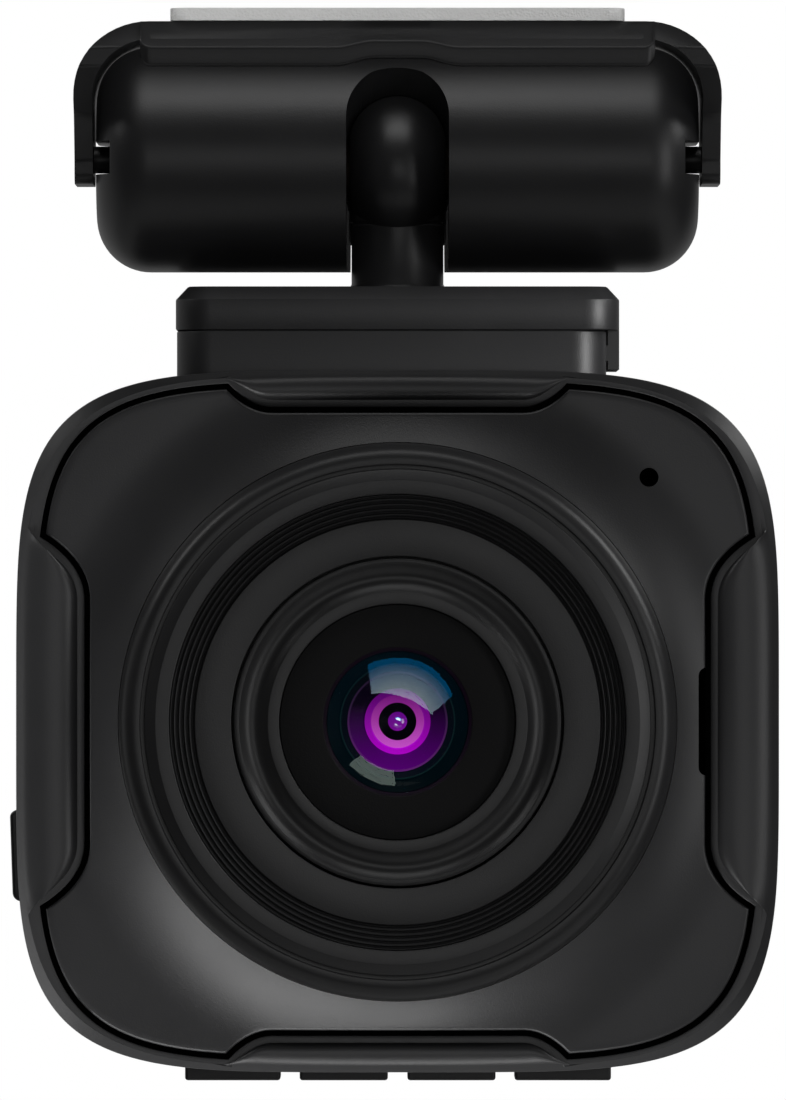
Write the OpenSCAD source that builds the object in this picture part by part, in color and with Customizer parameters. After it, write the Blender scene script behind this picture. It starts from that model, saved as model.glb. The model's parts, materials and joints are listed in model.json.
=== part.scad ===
// Dash camera on a pivoting windscreen mount.
// Millimetres, +Z up. The origin is the centre of the adhesive face that meets the glass.
// The lens looks along -Y. Left and right are as seen from in front of the lens.

/* [Camera body] */
// Width of the camera body
body_w = 64; // [60:1:70]
// Height of the camera body
body_h = 58.9; // [56:0.1:62]
// Squareness of the body outline, where 2 would be an ellipse
body_power = 4.75; // [4:0.25:6]
// Depth from the front rim to the back face
body_d = 24; // [23:0.5:28]
// Depth of the front frame, from the rim back to the parting line
frame_d = 5; // [4.5:0.5:6]
// Thickness of the housing wall
wall = 1.8; // [1.5:0.1:2]
// Radius of the rounded back edge
back_round = 4; // [3:0.5:5]
// Distance from the adhesive face down to the lens axis
body_drop = 59.92; // [59.9:0.01:60]

/* [Front cover] */
// Width of the shadow gap round the cover
cover_gap = 0.46; // [0.3:0.02:0.6]
// Distance from the centre to the straight side of each side grip
grip_x = 26; // [25:0.1:26.4]
// Distance from the centre to the straight side of the top and bottom grips
grip_z = 26.1; // [25:0.1:26.4]
// Diameter of the microphone hole
mic_d = 1.6; // [1:0.1:2]

/* [Lens] */
// Outer radius of the raised bezel
bezel_r = 23.33; // [22:0.01:23.6]
// Outer radius of the ring with fine ridges
ridge_r = 19.04; // [18:0.01:19.4]
// Radius where the fine ridges end and the flat ring starts
flat_r = 16.92; // [16:0.01:17.5]
// Outer radius of the dished inner ring
dish_r = 13.65; // [13:0.01:14]
// Outer radius of the black disc in front of the lens
disc_r = 9.88; // [9.5:0.01:10]
// Radius of the front lens
glass_r = 5.91; // [5:0.01:6]
// Height of the bezel above the front rim of the body
bezel_rise = 6.4; // [5:0.1:8]

/* [Buttons] */
// Height by which the bottom buttons stand out of the body
button_out = 1.1; // [0.8:0.1:1.4]
// Travel of every button
button_travel = 0.5; // [0.3:0.05:0.5]
// Height by which the side button stands out of the body
side_out = 0.9; // [0.7:0.1:1.1]

/* [Bracket] */
// Width of the adhesive pad
pad_w = 38.2; // [34:0.1:40]
// Depth of the adhesive pad
pad_d = 23; // [20:0.5:24]
// Thickness of the adhesive pad
pad_t = 1.1; // [0.8:0.1:1.2]
// Width of the bracket over its two arms
bracket_w = 54.6; // [54.5:0.1:56]
// Depth of the bracket plate
bracket_d = 26; // [26:0.5:28]
// Thickness of the bracket arms
arm_t = 1.55; // [1.4:0.05:1.6]

/* [Barrel] */
// Length of the barrel
barrel_l = 51; // [50:0.1:51]
// Radius of the barrel
barrel_r = 9.55; // [9.2:0.05:9.6]
// Radius that rounds each end of the barrel
barrel_round = 5.4; // [4:0.1:5.5]
// Depth of the barrel axis below the adhesive face
barrel_drop = 12.43; // [12.4:0.01:12.6]

/* [Knuckle] */
// Outer radius of the knuckle wheel
wheel_r = 6.3; // [6:0.1:6.4]
// Width of the knuckle wheel
wheel_w = 8.2; // [8:0.1:8.2]
// Depth of the knuckle axis below the adhesive face
knuckle_drop = 13.3; // [13.2:0.05:13.4]
// Radius of the stem
stem_r = 3.9; // [3.5:0.05:3.95]

/* [Shoe] */
// Width of the shoe
shoe_w = 37.4; // [36:0.1:38]
// Depth of the shoe
shoe_d = 20; // [19:0.5:22]
// Depth of the top of the shoe below the adhesive face
shoe_drop = 23.35; // [23.3:0.05:23.5]
// Thickness of the shoe above the seam
shoe_t = 3.68; // [3.5:0.01:3.8]
// Size of the chamfer round the top of the shoe
shoe_bevel = 1.1; // [0.8:0.1:1.2]

/* [Hidden] */
$fn = 64;
eps = 0.01;

// Heights in the camera frame, where h grows towards the front and 0 is the plane of the stem
rim_h = 13;
back_h = rim_h - body_d;
seam_h = rim_h - frame_d;
floor_h = 11;
bezel_h = rim_h + bezel_rise;
board_h = -4.6;
board_t = 1.2;
half_w = body_w / 2;
half_h = body_h / 2;
rim_bevel = 0.9;
grip_rise = 0.9;
screw_end_h = 9.6;
outline_steps = 96;

// Screw posts of the housing
post_x = 25.2;
post_y = 17;
boss_r = 2.4;
post_r = 2.6;
screw_r = 0.8;
screw_head_r = 1.6;
screw_head_t = 1.2;
window_w = 44;
window_h = 35;
window_t = 1;
view_w = 41;
view_h = 31;

// Mount
lip_slope = 2.2;
lip_ridge = 3.4;
lip_end = 5;
arm_end = barrel_drop + 2.17;
pin_r = 0.7;
pin_gap = 0.05;
notch_d = 1.25;
notch_h = 2.8;
slot_w = 8.66;
slot_rise = 7.68;
slot_lean = 20;
axle_r = 1.5;
axle_half = 8.5;
rail_neck = 10;
rail_head = 14;
rail_neck_t = 1.25;
rail_head_t = 1.3;
rail_gap = 0.15;
rail_start = -17.4;
stop_t = 0.95;
corner_r = 3;
stop_back = 3;
spigot_r = 3;
seam_drop = shoe_drop + shoe_t;
spigot_drop = shoe_drop + 2.85;
head_bore_r = 3.8;

// Bottom buttons: centre and width of each, from left to right
button_x = [-13.95, -4.55, 4.57, 14];
button_w = [8.09, 7.47, 7.47, 8.17];
button_d = 4.5;
button_h = 0.75;
button_gap = 0.15;
flange = 0.6;
flange_t = 0.8;
side_y = -11.55;
side_len = 7.7;
side_d = 4;
side_top = -28.85;

// Card and inlet, both opening to the right
card_l = 15;
card_w = 11;
card_t = 1;
card_y = -7.5;
card_h = -2.6;
inlet_y = 8;
inlet_w = 8.9;
inlet_t = 3.2;
inlet_h = -1.8;

// Lens barrel, its holder and the filter, as heights in the camera frame
barrel_top_h = 13;
barrel_foot_h = 4.8;
lens_bore_r = 5;
thread_r = 6;
holder_from = 1;
filter_h = 4.2;
filter_t = 0.4;

// Microphone
mic_x = 21.08;
mic_y = 20.47;
mic_bore_r = 2.3;

// ---- Outlines ----

function raised(v, p) = sign(v) * pow(abs(v), p);
function squircle(a, b, power, t) = [a * raised(cos(t), 2 / power), b * raised(sin(t), 2 / power)];
function outline(inset) = [
    for (i = [0 : outline_steps - 1])
        squircle(half_w - inset, half_h - inset, body_power, 360 * i / outline_steps)
];
function bend(a, b, c, steps) = [
    for (i = [0 : steps])
        let (t = i / steps)
        (1 - t) * (1 - t) * a + 2 * t * (1 - t) * b + t * t * c
];
function reversed(list) = [for (i = [len(list) - 1 : -1 : 0]) list[i]];

// One quarter of the line that the shadow gap follows: side grip, rounded corner, top grip
cover_a = half_w - 1.87;
cover_b = half_h - 1.18;
corner_from = 14.1;
corner_to = 80.2;
corner_steps = 20;
side_corner = squircle(cover_a, cover_b, body_power, corner_from);
top_corner = squircle(cover_a, cover_b, body_power, corner_to);
quarter = concat(
    bend([grip_x, 10.2], [grip_x, 13.3], side_corner, 8),
    [
        for (i = [1 : corner_steps - 1])
            squircle(cover_a, cover_b, body_power,
                corner_from + (corner_to - corner_from) * i / corner_steps)
    ],
    bend(top_corner, [12.4, grip_z], [10.5, grip_z], 8)
);

module gap_line() {
    polygon(concat(
        quarter,
        reversed([for (p = quarter) [-p[0], p[1]]]),
        [for (p = quarter) [-p[0], -p[1]]],
        reversed([for (p = quarter) [p[0], -p[1]]])
    ));
}

module body_shape(inset) {
    polygon(outline(inset));
}

module rounded_rect(w, h, r) {
    square([w - 2 * r, h], center = true);
    square([w, h - 2 * r], center = true);
    for (sx = [-1, 1], sy = [-1, 1])
        translate([sx * (w / 2 - r), sy * (h / 2 - r)])
            circle(r);
}

// ---- Placing ----

// Local Z becomes the direction the lens looks in, and local Y stays up
module camera_frame() {
    translate([0, 0, -body_drop])
        rotate([90, 0, 0])
            children();
}

module at_h(from, to) {
    translate([0, 0, from])
        linear_extrude(to - from)
            children();
}

// Local Z becomes +X
module along_x() {
    rotate([0, 90, 0])
        children();
}

// A block in the camera frame from its lowest and highest corners
module block(low, high) {
    translate(low)
        cube(high - low);
}

// ---- Mount ----

module adhesive_pad() {
    color("gainsboro")
        translate([0, 0, -pad_t])
            linear_extrude(pad_t)
                rounded_rect(pad_w, pad_d, 1.5);
}

// The bent strip of the bracket, seen from the front
module bracket_strip() {
    outer_r = 6.7;
    difference() {
        translate([0, -pad_t - outer_r * 2])
            rounded_rect(bracket_w, outer_r * 4, outer_r);
        translate([0, -pad_t - arm_t - outer_r * 2])
            rounded_rect(bracket_w - 2 * arm_t, outer_r * 4, outer_r - arm_t);
        translate([-bracket_w, -arm_end - 40])
            square([2 * bracket_w, 40]);
    }
    translate([-bracket_w / 2, -arm_end])
        square([arm_t, arm_end - pad_t - outer_r]);
    translate([bracket_w / 2 - arm_t, -arm_end])
        square([arm_t, arm_end - pad_t - outer_r]);
}

// The same bracket seen from the side: a wide plate above narrow rounded arms
module bracket_side() {
    arm_half = 5;
    tip_r = 2;
    neck_drop = 9;
    plate_half = bracket_d / 2;
    polygon([
        [-plate_half + lip_slope, -pad_t],
        [plate_half - lip_slope, -pad_t],
        [plate_half, -lip_ridge],
        [plate_half, -lip_end],
        [arm_half + tip_r, -neck_drop],
        [arm_half, -arm_end + tip_r],
        [arm_half - tip_r, -arm_end],
        [tip_r - arm_half, -arm_end],
        [-arm_half, -arm_end + tip_r],
        [-arm_half - tip_r, -neck_drop],
        [-plate_half, -lip_end],
        [-plate_half, -lip_ridge]
    ]);
    for (s = [-1, 1])
        translate([s * (arm_half - tip_r), -arm_end + tip_r])
            circle(tip_r);
}

module bracket() {
    lip_w = 43.2;
    lip_t = 1.6;
    arch_r = 11;
    arch_rise = 0.75;
    color("dimgray")
        difference() {
            union() {
                intersection() {
                    rotate([90, 0, 0])
                        translate([0, 0, -bracket_d / 2])
                            linear_extrude(bracket_d)
                                bracket_strip();
                    rotate([90, 0, 90])
                        translate([0, 0, -bracket_w])
                            linear_extrude(2 * bracket_w)
                                bracket_side();
                }
                for (s = [0, 180])
                    rotate([0, 0, s])
                        rotate([90, 0, 90])
                            translate([0, 0, -lip_w / 2])
                                linear_extrude(lip_w)
                                    polygon([
                                        [-bracket_d / 2, -lip_end],
                                        [-bracket_d / 2 + lip_t, -lip_end],
                                        [-bracket_d / 2 + lip_t + 1.4, -pad_t - arm_t],
                                        [-bracket_d / 2 + lip_t + 1.4, -pad_t],
                                        [-bracket_d / 2 + lip_slope, -pad_t],
                                        [-bracket_d / 2, -lip_ridge]
                                    ]);
            }
            translate([-bracket_w, 0, -barrel_drop])
                along_x()
                    cylinder(r = pin_r, h = 2 * bracket_w);
            for (s = [-1, 1])
                translate([0, s * (bracket_d / 2), -lip_end + arch_rise - arch_r])
                    rotate([90, 0, 0])
                        cylinder(r = arch_r, h = 2 * lip_t + eps, center = true);
        }
}

module pivot_pins() {
    pin_in = 5.5;
    color("silver")
        for (s = [0, 180])
            rotate([0, 0, s])
                translate([barrel_l / 2 - pin_in, 0, -barrel_drop])
                    along_x()
                        cylinder(r = pin_r, h = bracket_w / 2 - barrel_l / 2 + pin_in);
}

// Profile of the barrel from its axis outwards
module barrel_profile() {
    flat = barrel_l / 2 - barrel_round;
    translate([0, -flat])
        square([barrel_r, 2 * flat]);
    translate([0, -barrel_l / 2])
        square([barrel_r - barrel_round, barrel_l]);
    for (s = [-1, 1])
        intersection() {
            translate([barrel_r - barrel_round, s * flat])
                circle(barrel_round);
            translate([0, -barrel_l])
                square([2 * barrel_r, 2 * barrel_l]);
        }
}

// Profile of a wheel with a full round tread
module wheel_profile(grow) {
    tread = wheel_w / 2;
    translate([0, -tread - grow])
        square([wheel_r - tread, 2 * (tread + grow)]);
    translate([wheel_r - tread, 0])
        intersection() {
            circle(tread + grow);
            translate([-(wheel_r - tread), -2 * tread])
                square([2 * wheel_r, 4 * tread]);
        }
}

// The space in the barrel for the knuckle: wheel room, arched front mouth, way out below
module knuckle_room() {
    swing_front = 42;
    swing_back = 17;
    translate([0, 0, -knuckle_drop])
        along_x()
            rotate_extrude()
                wheel_profile(slot_w / 2 - wheel_w / 2);
    translate([0, -5.68, -barrel_drop + slot_rise - slot_w / 2])
        rotate([90 + slot_lean, 0, 0])
            translate([0, 0, -7])
                linear_extrude(14)
                    union() {
                        circle(slot_w / 2);
                        translate([-slot_w / 2, -16])
                            square([slot_w, 16]);
                    }
    for (a = [-swing_front, -12, swing_back])
        translate([0, 0, -knuckle_drop])
            rotate([a, 0, 0])
                translate([0, 0, -8])
                    cube([slot_w, 2 * stem_r + 0.8, 16], center = true);
}

module barrel_post(r, from, to) {
    for (s = [-1, 1])
        translate([s * 13, to, -barrel_drop])
            rotate([90, 0, 0])
                cylinder(r = r, h = to - from);
}

// The whole barrel before it is split along the plane of its pins
module barrel_solid() {
    room_r = barrel_r - 1.65;
    room_from = 10;
    room_l = 9.5;
    difference() {
        translate([0, 0, -barrel_drop])
            along_x()
                rotate_extrude()
                    barrel_profile();
        knuckle_room();
        translate([-barrel_l, 0, -barrel_drop])
            along_x()
                cylinder(r = pin_r + pin_gap, h = 2 * barrel_l);
        translate([-axle_half, 0, -knuckle_drop])
            along_x()
                cylinder(r = axle_r, h = 2 * axle_half);
        for (s = [-1, 1]) {
            translate([s * (barrel_l / 2), 0, -barrel_drop])
                cube([2 * notch_d, 2 * barrel_r, notch_h], center = true);
            difference() {
                translate([s * (room_from + room_l / 2) - room_l / 2, 0, -barrel_drop])
                    along_x()
                        cylinder(r = room_r, h = room_l);
                barrel_post(2.4, -barrel_r, barrel_r);
            }
        }
    }
}

module barrel_front() {
    color("black")
        difference() {
            intersection() {
                barrel_solid();
                translate([-barrel_l, -2 * barrel_r, -barrel_drop - 2 * barrel_r])
                    cube([2 * barrel_l, 2 * barrel_r, 4 * barrel_r]);
            }
            barrel_post(1, -6, eps);
        }
}

module barrel_rear() {
    color("black")
        difference() {
            intersection() {
                barrel_solid();
                translate([-barrel_l, 0, -barrel_drop - 2 * barrel_r])
                    cube([2 * barrel_l, 2 * barrel_r, 4 * barrel_r]);
            }
            barrel_post(1, -eps, barrel_r);
            barrel_post(2, 7.2, barrel_r);
        }
}

module barrel_screws() {
    color("silver") {
        barrel_post(1, -5.8, 7.2);
        barrel_post(1.9, 7.2, 8.4);
    }
}

module knuckle_axle() {
    color("silver")
        translate([-axle_half, 0, -knuckle_drop])
            along_x()
                cylinder(r = axle_r, h = 2 * axle_half);
}

module friction_washers() {
    inner = 3.65;
    outer = 4.3;
    color("gold")
        for (s = [0, 180])
            rotate([0, 0, s])
                translate([inner, 0, -knuckle_drop])
                    along_x()
                        difference() {
                            cylinder(r = 2.7, h = outer - inner);
                            translate([0, 0, -eps])
                                cylinder(r = axle_r + 0.05, h = 1);
                        }
}

module knuckle_stem() {
    color("black")
        difference() {
            union() {
                translate([0, 0, -knuckle_drop])
                    along_x()
                        rotate_extrude()
                            wheel_profile(0);
                translate([0, 0, -shoe_drop + 0.05])
                    cylinder(r = stem_r, h = shoe_drop - knuckle_drop - 1.5);
                translate([0, 0, -spigot_drop])
                    cylinder(r = spigot_r, h = 4);
            }
            translate([-wheel_w, 0, -knuckle_drop])
                along_x()
                    cylinder(r = axle_r + 0.05, h = 2 * wheel_w);
            for (s = [0, 180])
                rotate([0, 0, s])
                    translate([3.6, 0, -knuckle_drop])
                        along_x()
                            cylinder(r = 2.8, h = wheel_w);
            translate([0, 0, -spigot_drop - eps])
                cylinder(r = 1, h = 7);
        }
}

module swivel_washer() {
    color("gold")
        translate([0, 0, -spigot_drop - 0.4])
            difference() {
                cylinder(r = 3.6, h = 0.35);
                translate([0, 0, -eps])
                    cylinder(r = 1, h = 1);
            }
}

module swivel_screw() {
    color("silver") {
        translate([0, 0, -spigot_drop - 1.6])
            cylinder(r = 3.5, h = 1.2);
        translate([0, 0, -spigot_drop - 0.4])
            cylinder(r = 1, h = 7);
    }
}

// Block of the shoe with the chamfer round its top
module shoe_block() {
    points = [
        [shoe_w / 2, 0],
        [shoe_w / 2, shoe_t - shoe_bevel],
        [shoe_w / 2 - shoe_bevel, shoe_t],
        [-shoe_w / 2 + shoe_bevel, shoe_t],
        [-shoe_w / 2, shoe_t - shoe_bevel],
        [-shoe_w / 2, 0]
    ];
    side = [
        [shoe_d / 2, 0],
        [shoe_d / 2, shoe_t - shoe_bevel],
        [shoe_d / 2 - shoe_bevel, shoe_t],
        [-shoe_d / 2 + shoe_bevel, shoe_t],
        [-shoe_d / 2, shoe_t - shoe_bevel],
        [-shoe_d / 2, 0]
    ];
    translate([0, 0, -seam_drop])
        intersection() {
            rotate([90, 0, 0])
                translate([0, 0, -shoe_d])
                    linear_extrude(2 * shoe_d)
                        polygon(points);
            rotate([90, 0, 90])
                translate([0, 0, -shoe_w])
                    linear_extrude(2 * shoe_w)
                        polygon(side);
            linear_extrude(shoe_t)
                rounded_rect(shoe_w, shoe_d, corner_r);
        }
}

// The T rail below the seam, from x = from to x = to, widened and deepened by gap
module rail(from, to, gap) {
    translate([from, -rail_neck / 2 - gap, -seam_drop - rail_neck_t])
        cube([to - from, rail_neck + 2 * gap, rail_neck_t + eps]);
    translate([from, -rail_head / 2 - gap, -seam_drop - rail_neck_t - rail_head_t - gap])
        cube([to - from, rail_head + 2 * gap, rail_head_t + 2 * gap]);
}

module shoe() {
    color("black")
        difference() {
            union() {
                shoe_block();
                rail(rail_start, shoe_w / 2 - stop_t + eps, 0);
                translate([shoe_w / 2 - stop_t, -shoe_d / 2 + stop_back, -seam_drop - 3.3])
                    cube([stop_t, shoe_d - 2 * stop_back, 3.3 + eps]);
            }
            translate([0, 0, -spigot_drop - eps])
                cylinder(r = spigot_r + 0.05, h = 10);
            translate([0, 0, -spigot_drop - 10])
                cylinder(r = head_bore_r, h = 10);
            contact_row(-seam_drop - 3, 2, 0.5);
        }
}

// Four contacts in a row along the rail
module contact_row(z, length, r) {
    for (i = [0 : 3])
        translate([8 + 2.2 * i, 0, z])
            cylinder(r = r, h = length);
}

module contact_pins() {
    color("gold")
        contact_row(-seam_drop - rail_neck_t - rail_head_t - 0.1, 1.55, 0.5);
}

// ---- Camera shells ----

module body_prism(from, to) {
    camera_frame()
        at_h(from, to)
            body_shape(0);
}

module dock() {
    dock_from = -shoe_w / 2 + 0.1;
    dock_to = shoe_w / 2 - stop_t - 0.15;
    color("black")
        difference() {
            translate([0, 0, -seam_drop - 4])
                linear_extrude(3.95)
                    translate([(dock_from + dock_to) / 2, 0])
                        rounded_rect(dock_to - dock_from, shoe_d, corner_r);
            rail(dock_from + 1, shoe_w, rail_gap);
            body_prism(back_h, rim_h);
            contact_slots();
        }
}

module contact_slots() {
    floor_z = -seam_drop - rail_neck_t - rail_head_t - rail_gap;
    for (i = [0 : 3])
        translate([8 + 2.2 * i - 0.6, -1.5, floor_z - 0.4])
            cube([1.2, 3, 0.4]);
}

module contact_pads() {
    color("gold")
        contact_slots();
}

module front_frame() {
    color([0.16, 0.16, 0.17])
        difference() {
            camera_frame()
                difference() {
                    union() {
                        at_h(seam_h, rim_h - rim_bevel)
                            body_shape(0);
                        translate([0, 0, rim_h - rim_bevel])
                            linear_extrude(rim_bevel, slices = 1, scale = [
                                (half_w - rim_bevel) / half_w,
                                (half_h - rim_bevel) / half_h
                            ])
                                body_shape(0);
                        at_h(rim_h - rim_bevel, rim_h + grip_rise)
                            body_shape(2.2);
                    }
                    at_h(floor_h, rim_h + 2)
                        offset(delta = cover_gap / 2)
                            gap_line();
                    at_h(seam_h - 1, floor_h + 1)
                        circle(11.2);
                    difference() {
                        at_h(seam_h - 1, floor_h - 1)
                            body_shape(wall + 1.2);
                        posts(boss_r, seam_h - 1, floor_h);
                    }
                    posts(screw_r, seam_h - 1, screw_end_h);
                    translate([mic_x, mic_y, seam_h])
                        cylinder(r = mic_bore_r, h = rim_h);
                }
        }
}

// The outline prism with its back edges rounded, seen from above and from the side
module rounded_back() {
    length = 2 * body_d;
    reach = 2 * body_w;
    intersection() {
        at_h(back_h, seam_h)
            body_shape(0);
        rotate([90, 0, 0])
            translate([0, back_h + length / 2, -reach / 2])
                linear_extrude(reach)
                    rounded_rect(body_w, length, back_round);
        rotate([90, 0, 90])
            translate([0, back_h + length / 2, -reach / 2])
                linear_extrude(reach)
                    rounded_rect(body_h, length, back_round);
    }
}

module posts(r, from, to) {
    for (sx = [-1, 1], sy = [-1, 1])
        translate([sx * post_x, sy * post_y, from])
            cylinder(r = r, h = to - from);
}

module rear_housing() {
    color([0.1, 0.1, 0.11])
        camera_frame()
            difference() {
                union() {
                    difference() {
                        rounded_back();
                        at_h(back_h + wall, seam_h + 1)
                            body_shape(wall);
                    }
                    posts(post_r, back_h + wall - eps, seam_h);
                }
                at_h(back_h - 1, back_h + window_t)
                    rounded_rect(window_w + 0.2, window_h + 0.2, 2);
                at_h(back_h - 1, back_h + wall + 1)
                    rounded_rect(view_w, view_h, 1);
                posts(screw_r + 0.1, back_h - 1, seam_h + 1);
                posts(screw_head_r + 0.1, back_h - 1, back_h + screw_head_t + 0.2);
                button_holes();
                side_hole();
                card_hole();
                inlet_hole();
                speaker_slots();
            }
}

module housing_screws() {
    color("silver")
        camera_frame() {
            posts(screw_head_r, back_h + 0.2, back_h + 0.2 + screw_head_t);
            posts(screw_r, back_h + 0.2 + screw_head_t, screw_end_h);
        }
}

module button_holes() {
    for (i = [0 : 3])
        button_block(i, button_gap, -half_h - 2, -half_h + 5);
}

module side_hole() {
    block(
        [-half_w - 2, side_y - side_len / 2 - button_gap, button_h - side_d / 2 - button_gap],
        [-half_w + 5, side_y + side_len / 2 + button_gap, button_h + side_d / 2 + button_gap]
    );
}

module card_hole() {
    block(
        [half_w - 5, card_y - card_w / 2 - 0.2, card_h - 0.2],
        [half_w + 2, card_y + card_w / 2 + 0.2, card_h + card_t + 0.2]
    );
}

module inlet_hole() {
    block(
        [half_w - 5, inlet_y - inlet_w / 2 - 0.1, inlet_h - inlet_t / 2 - 0.1],
        [half_w + 2, inlet_y + inlet_w / 2 + 0.1, inlet_h + inlet_t / 2 + 0.1]
    );
}

module speaker_slots() {
    for (i = [-3 : 3])
        block([i * 2 - 0.4, -22.6, back_h - 1], [i * 2 + 0.4, -19.6, back_h + wall + 1]);
}

module button_block(i, grow, from, to) {
    block(
        [button_x[i] - button_w[i] / 2 - grow, from, button_h - button_d / 2 - grow],
        [button_x[i] + button_w[i] / 2 + grow, to, button_h + button_d / 2 + grow]
    );
}

// ---- Front cover and lens rings ----

// A ring turned about the lens axis from points of radius and height
module turned(points) {
    camera_frame()
        rotate_extrude($fn = 96)
            polygon(points);
}

module front_cover() {
    edge_h = 13.3;
    flare_r = 31;
    flare_rise = 2.4;
    inner_r = bezel_r + 0.07;
    steps = 8;
    notch_r = 0.7;
    color([0.12, 0.12, 0.13])
        camera_frame()
            difference() {
                intersection() {
                    at_h(floor_h, bezel_h)
                        offset(delta = -cover_gap / 2)
                            gap_line();
                    rotate_extrude($fn = 96)
                        polygon(concat(
                            [[inner_r, floor_h - 1], [half_w * 1.5, floor_h - 1], [half_w * 1.5, edge_h - 0.8]],
                            [
                                for (i = [0 : steps])
                                    let (t = i / steps)
                                    [flare_r - t * (flare_r - inner_r), edge_h + flare_rise * t * t]
                            ]
                        ));
                }
                translate([mic_x, mic_y, floor_h - 1])
                    cylinder(r = mic_d / 2, h = 5);
                at_h(floor_h + 0.6, bezel_h)
                    translate([grip_x, 0])
                        rounded_rect(2 * (grip_x - 25.2), 9.08, notch_r);
            }
}

module lens_bezel() {
    crest_r = 22;
    crest_h = bezel_h - 0.4;
    groove_out = 21.5;
    groove_in = 21.1;
    groove_depth = 0.4;
    flat_edge = 20.2;
    color([0.18, 0.18, 0.18])
        turned(concat(
            [[ridge_r, floor_h], [bezel_r, floor_h]],
            bend([bezel_r, bezel_h - 2.8], [bezel_r, crest_h - 0.2], [crest_r, crest_h], 6),
            [
                [groove_out, crest_h],
                [groove_out, crest_h - groove_depth],
                [groove_in, crest_h - groove_depth],
                [groove_in, crest_h],
                [flat_edge, bezel_h],
                [ridge_r, bezel_h]
            ]
        ));
}

module ridged_ring() {
    ridges = 5;
    drop = 1.4;
    pitch = (ridge_r - flat_r) / ridges;
    ridge_depth = 0.3;
    top = bezel_h - 0.2;
    color([0.14, 0.14, 0.14])
        turned(concat(
            [
                [dish_r + 0.23, floor_h],
                [ridge_r - 0.05, floor_h],
                [ridge_r - 0.05, top]
            ],
            [
                for (i = [1 : ridges], k = [0, 1])
                    [
                        ridge_r - pitch * (i - (k == 0 ? 0.5 : 0)),
                        top - drop * i / ridges + (k == 0 ? -ridge_depth : 0)
                    ]
            ],
            [[dish_r + 0.23, top - drop]]
        ));
}

module dished_ring() {
    lip_r = dish_r - 0.25;
    inner_lip_r = 10.85;
    top = bezel_h - 1.6;
    dish_depth = 1;
    mid = (lip_r + inner_lip_r) / 2;
    color([0.12, 0.12, 0.12])
        turned(concat(
            [[disc_r, floor_h], [dish_r, floor_h], [dish_r, top - 0.2], [lip_r, top]],
            bend([lip_r, top], [mid, top - 2 * dish_depth], [inner_lip_r, top], 8),
            [[disc_r, top]]
        ));
}

module lens_retainer() {
    top = bezel_h - 2.4;
    color([0.03, 0.03, 0.03])
        turned([
            [glass_r + 0.04, barrel_top_h],
            [disc_r - 0.05, barrel_top_h],
            [disc_r - 0.05, top],
            [glass_r + 0.04, top - 0.5]
        ]);
}

module front_lens() {
    crown_h = bezel_h - 2.8;
    ball_r = 17.9;
    color([0.05, 0.12, 0.2, 0.5])
        camera_frame()
            intersection() {
                translate([0, 0, barrel_top_h])
                    cylinder(r = glass_r - 0.01, h = 5);
                translate([0, 0, crown_h - ball_r])
                    sphere(r = ball_r, $fn = 96);
            }
}

module lens_barrel() {
    color([0.05, 0.05, 0.05])
        camera_frame()
            difference() {
                union() {
                    translate([0, 0, barrel_foot_h])
                        cylinder(r = thread_r, h = barrel_top_h - barrel_foot_h);
                    translate([0, 0, floor_h])
                        cylinder(r = disc_r - 0.05, h = barrel_top_h - floor_h);
                }
                translate([0, 0, 4])
                    cylinder(r = lens_bore_r, h = barrel_top_h);
            }
}

// A glass disc inside the lens barrel
module inner_lens(from, to) {
    color([0.35, 0.1, 0.45, 0.5])
        camera_frame()
            translate([0, 0, from])
                cylinder(r = lens_bore_r, h = to - from);
}

module middle_lens() {
    inner_lens(9.2, 11.4);
}

module rear_lens() {
    inner_lens(5.4, 7.6);
}

// ---- Inner works ----

module infrared_filter() {
    color([0.4, 0.6, 0.7, 0.5])
        camera_frame()
            at_h(filter_h, filter_h + filter_t)
                square(8, center = true);
}

module lens_holder() {
    base_w = 17;
    color([0.08, 0.08, 0.08])
        camera_frame()
            difference() {
                union() {
                    at_h(holder_from, 5)
                        square(base_w, center = true);
                    translate([0, 0, 4])
                        cylinder(r = 8, h = 6);
                    translate([0, 0, floor_h - 2])
                        cylinder(r = 13, h = 1);
                }
                at_h(holder_from - 1, filter_h + filter_t)
                    square(8, center = true);
                translate([0, 0, filter_h])
                    cylinder(r = 3.6, h = 2);
                translate([0, 0, barrel_foot_h])
                    cylinder(r = thread_r, h = 10);
            }
}

module image_sensor() {
    color("seagreen")
        camera_frame()
            at_h(holder_from, holder_from + 0.9)
                square([7.4, 5.6], center = true);
}

module sensor_board() {
    color("darkgreen")
        camera_frame()
            at_h(holder_from - 1, holder_from)
                square(19, center = true);
}

module main_board() {
    color("darkgreen")
        camera_frame()
            at_h(board_h, board_h + board_t) {
                square([56, 27.6], center = true);
                square([40, 48], center = true);
            }
}

module processor() {
    color([0.15, 0.15, 0.15])
        camera_frame()
            at_h(board_h + board_t, board_h + board_t + 1.2)
                square(13, center = true);
}

module heat_spreader() {
    fins = 6;
    from = board_h + board_t + 1.2;
    color("silver")
        camera_frame() {
            at_h(from, from + 0.8)
                square([20, 18], center = true);
            for (i = [0 : fins - 1])
                at_h(from + 0.7, from + 1.9)
                    translate([-10 + 0.5 + i * 19 / (fins - 1), 0])
                        square([1, 18], center = true);
        }
}

module display_module() {
    color([0.3, 0.3, 0.32])
        camera_frame()
            at_h(back_h + wall, back_h + wall + 2.6)
                rounded_rect(43.4, 34, 1);
}

module display_window() {
    color([0.02, 0.02, 0.03])
        camera_frame()
            at_h(back_h, back_h + window_t)
                rounded_rect(window_w, window_h, 1.9);
}

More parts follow.
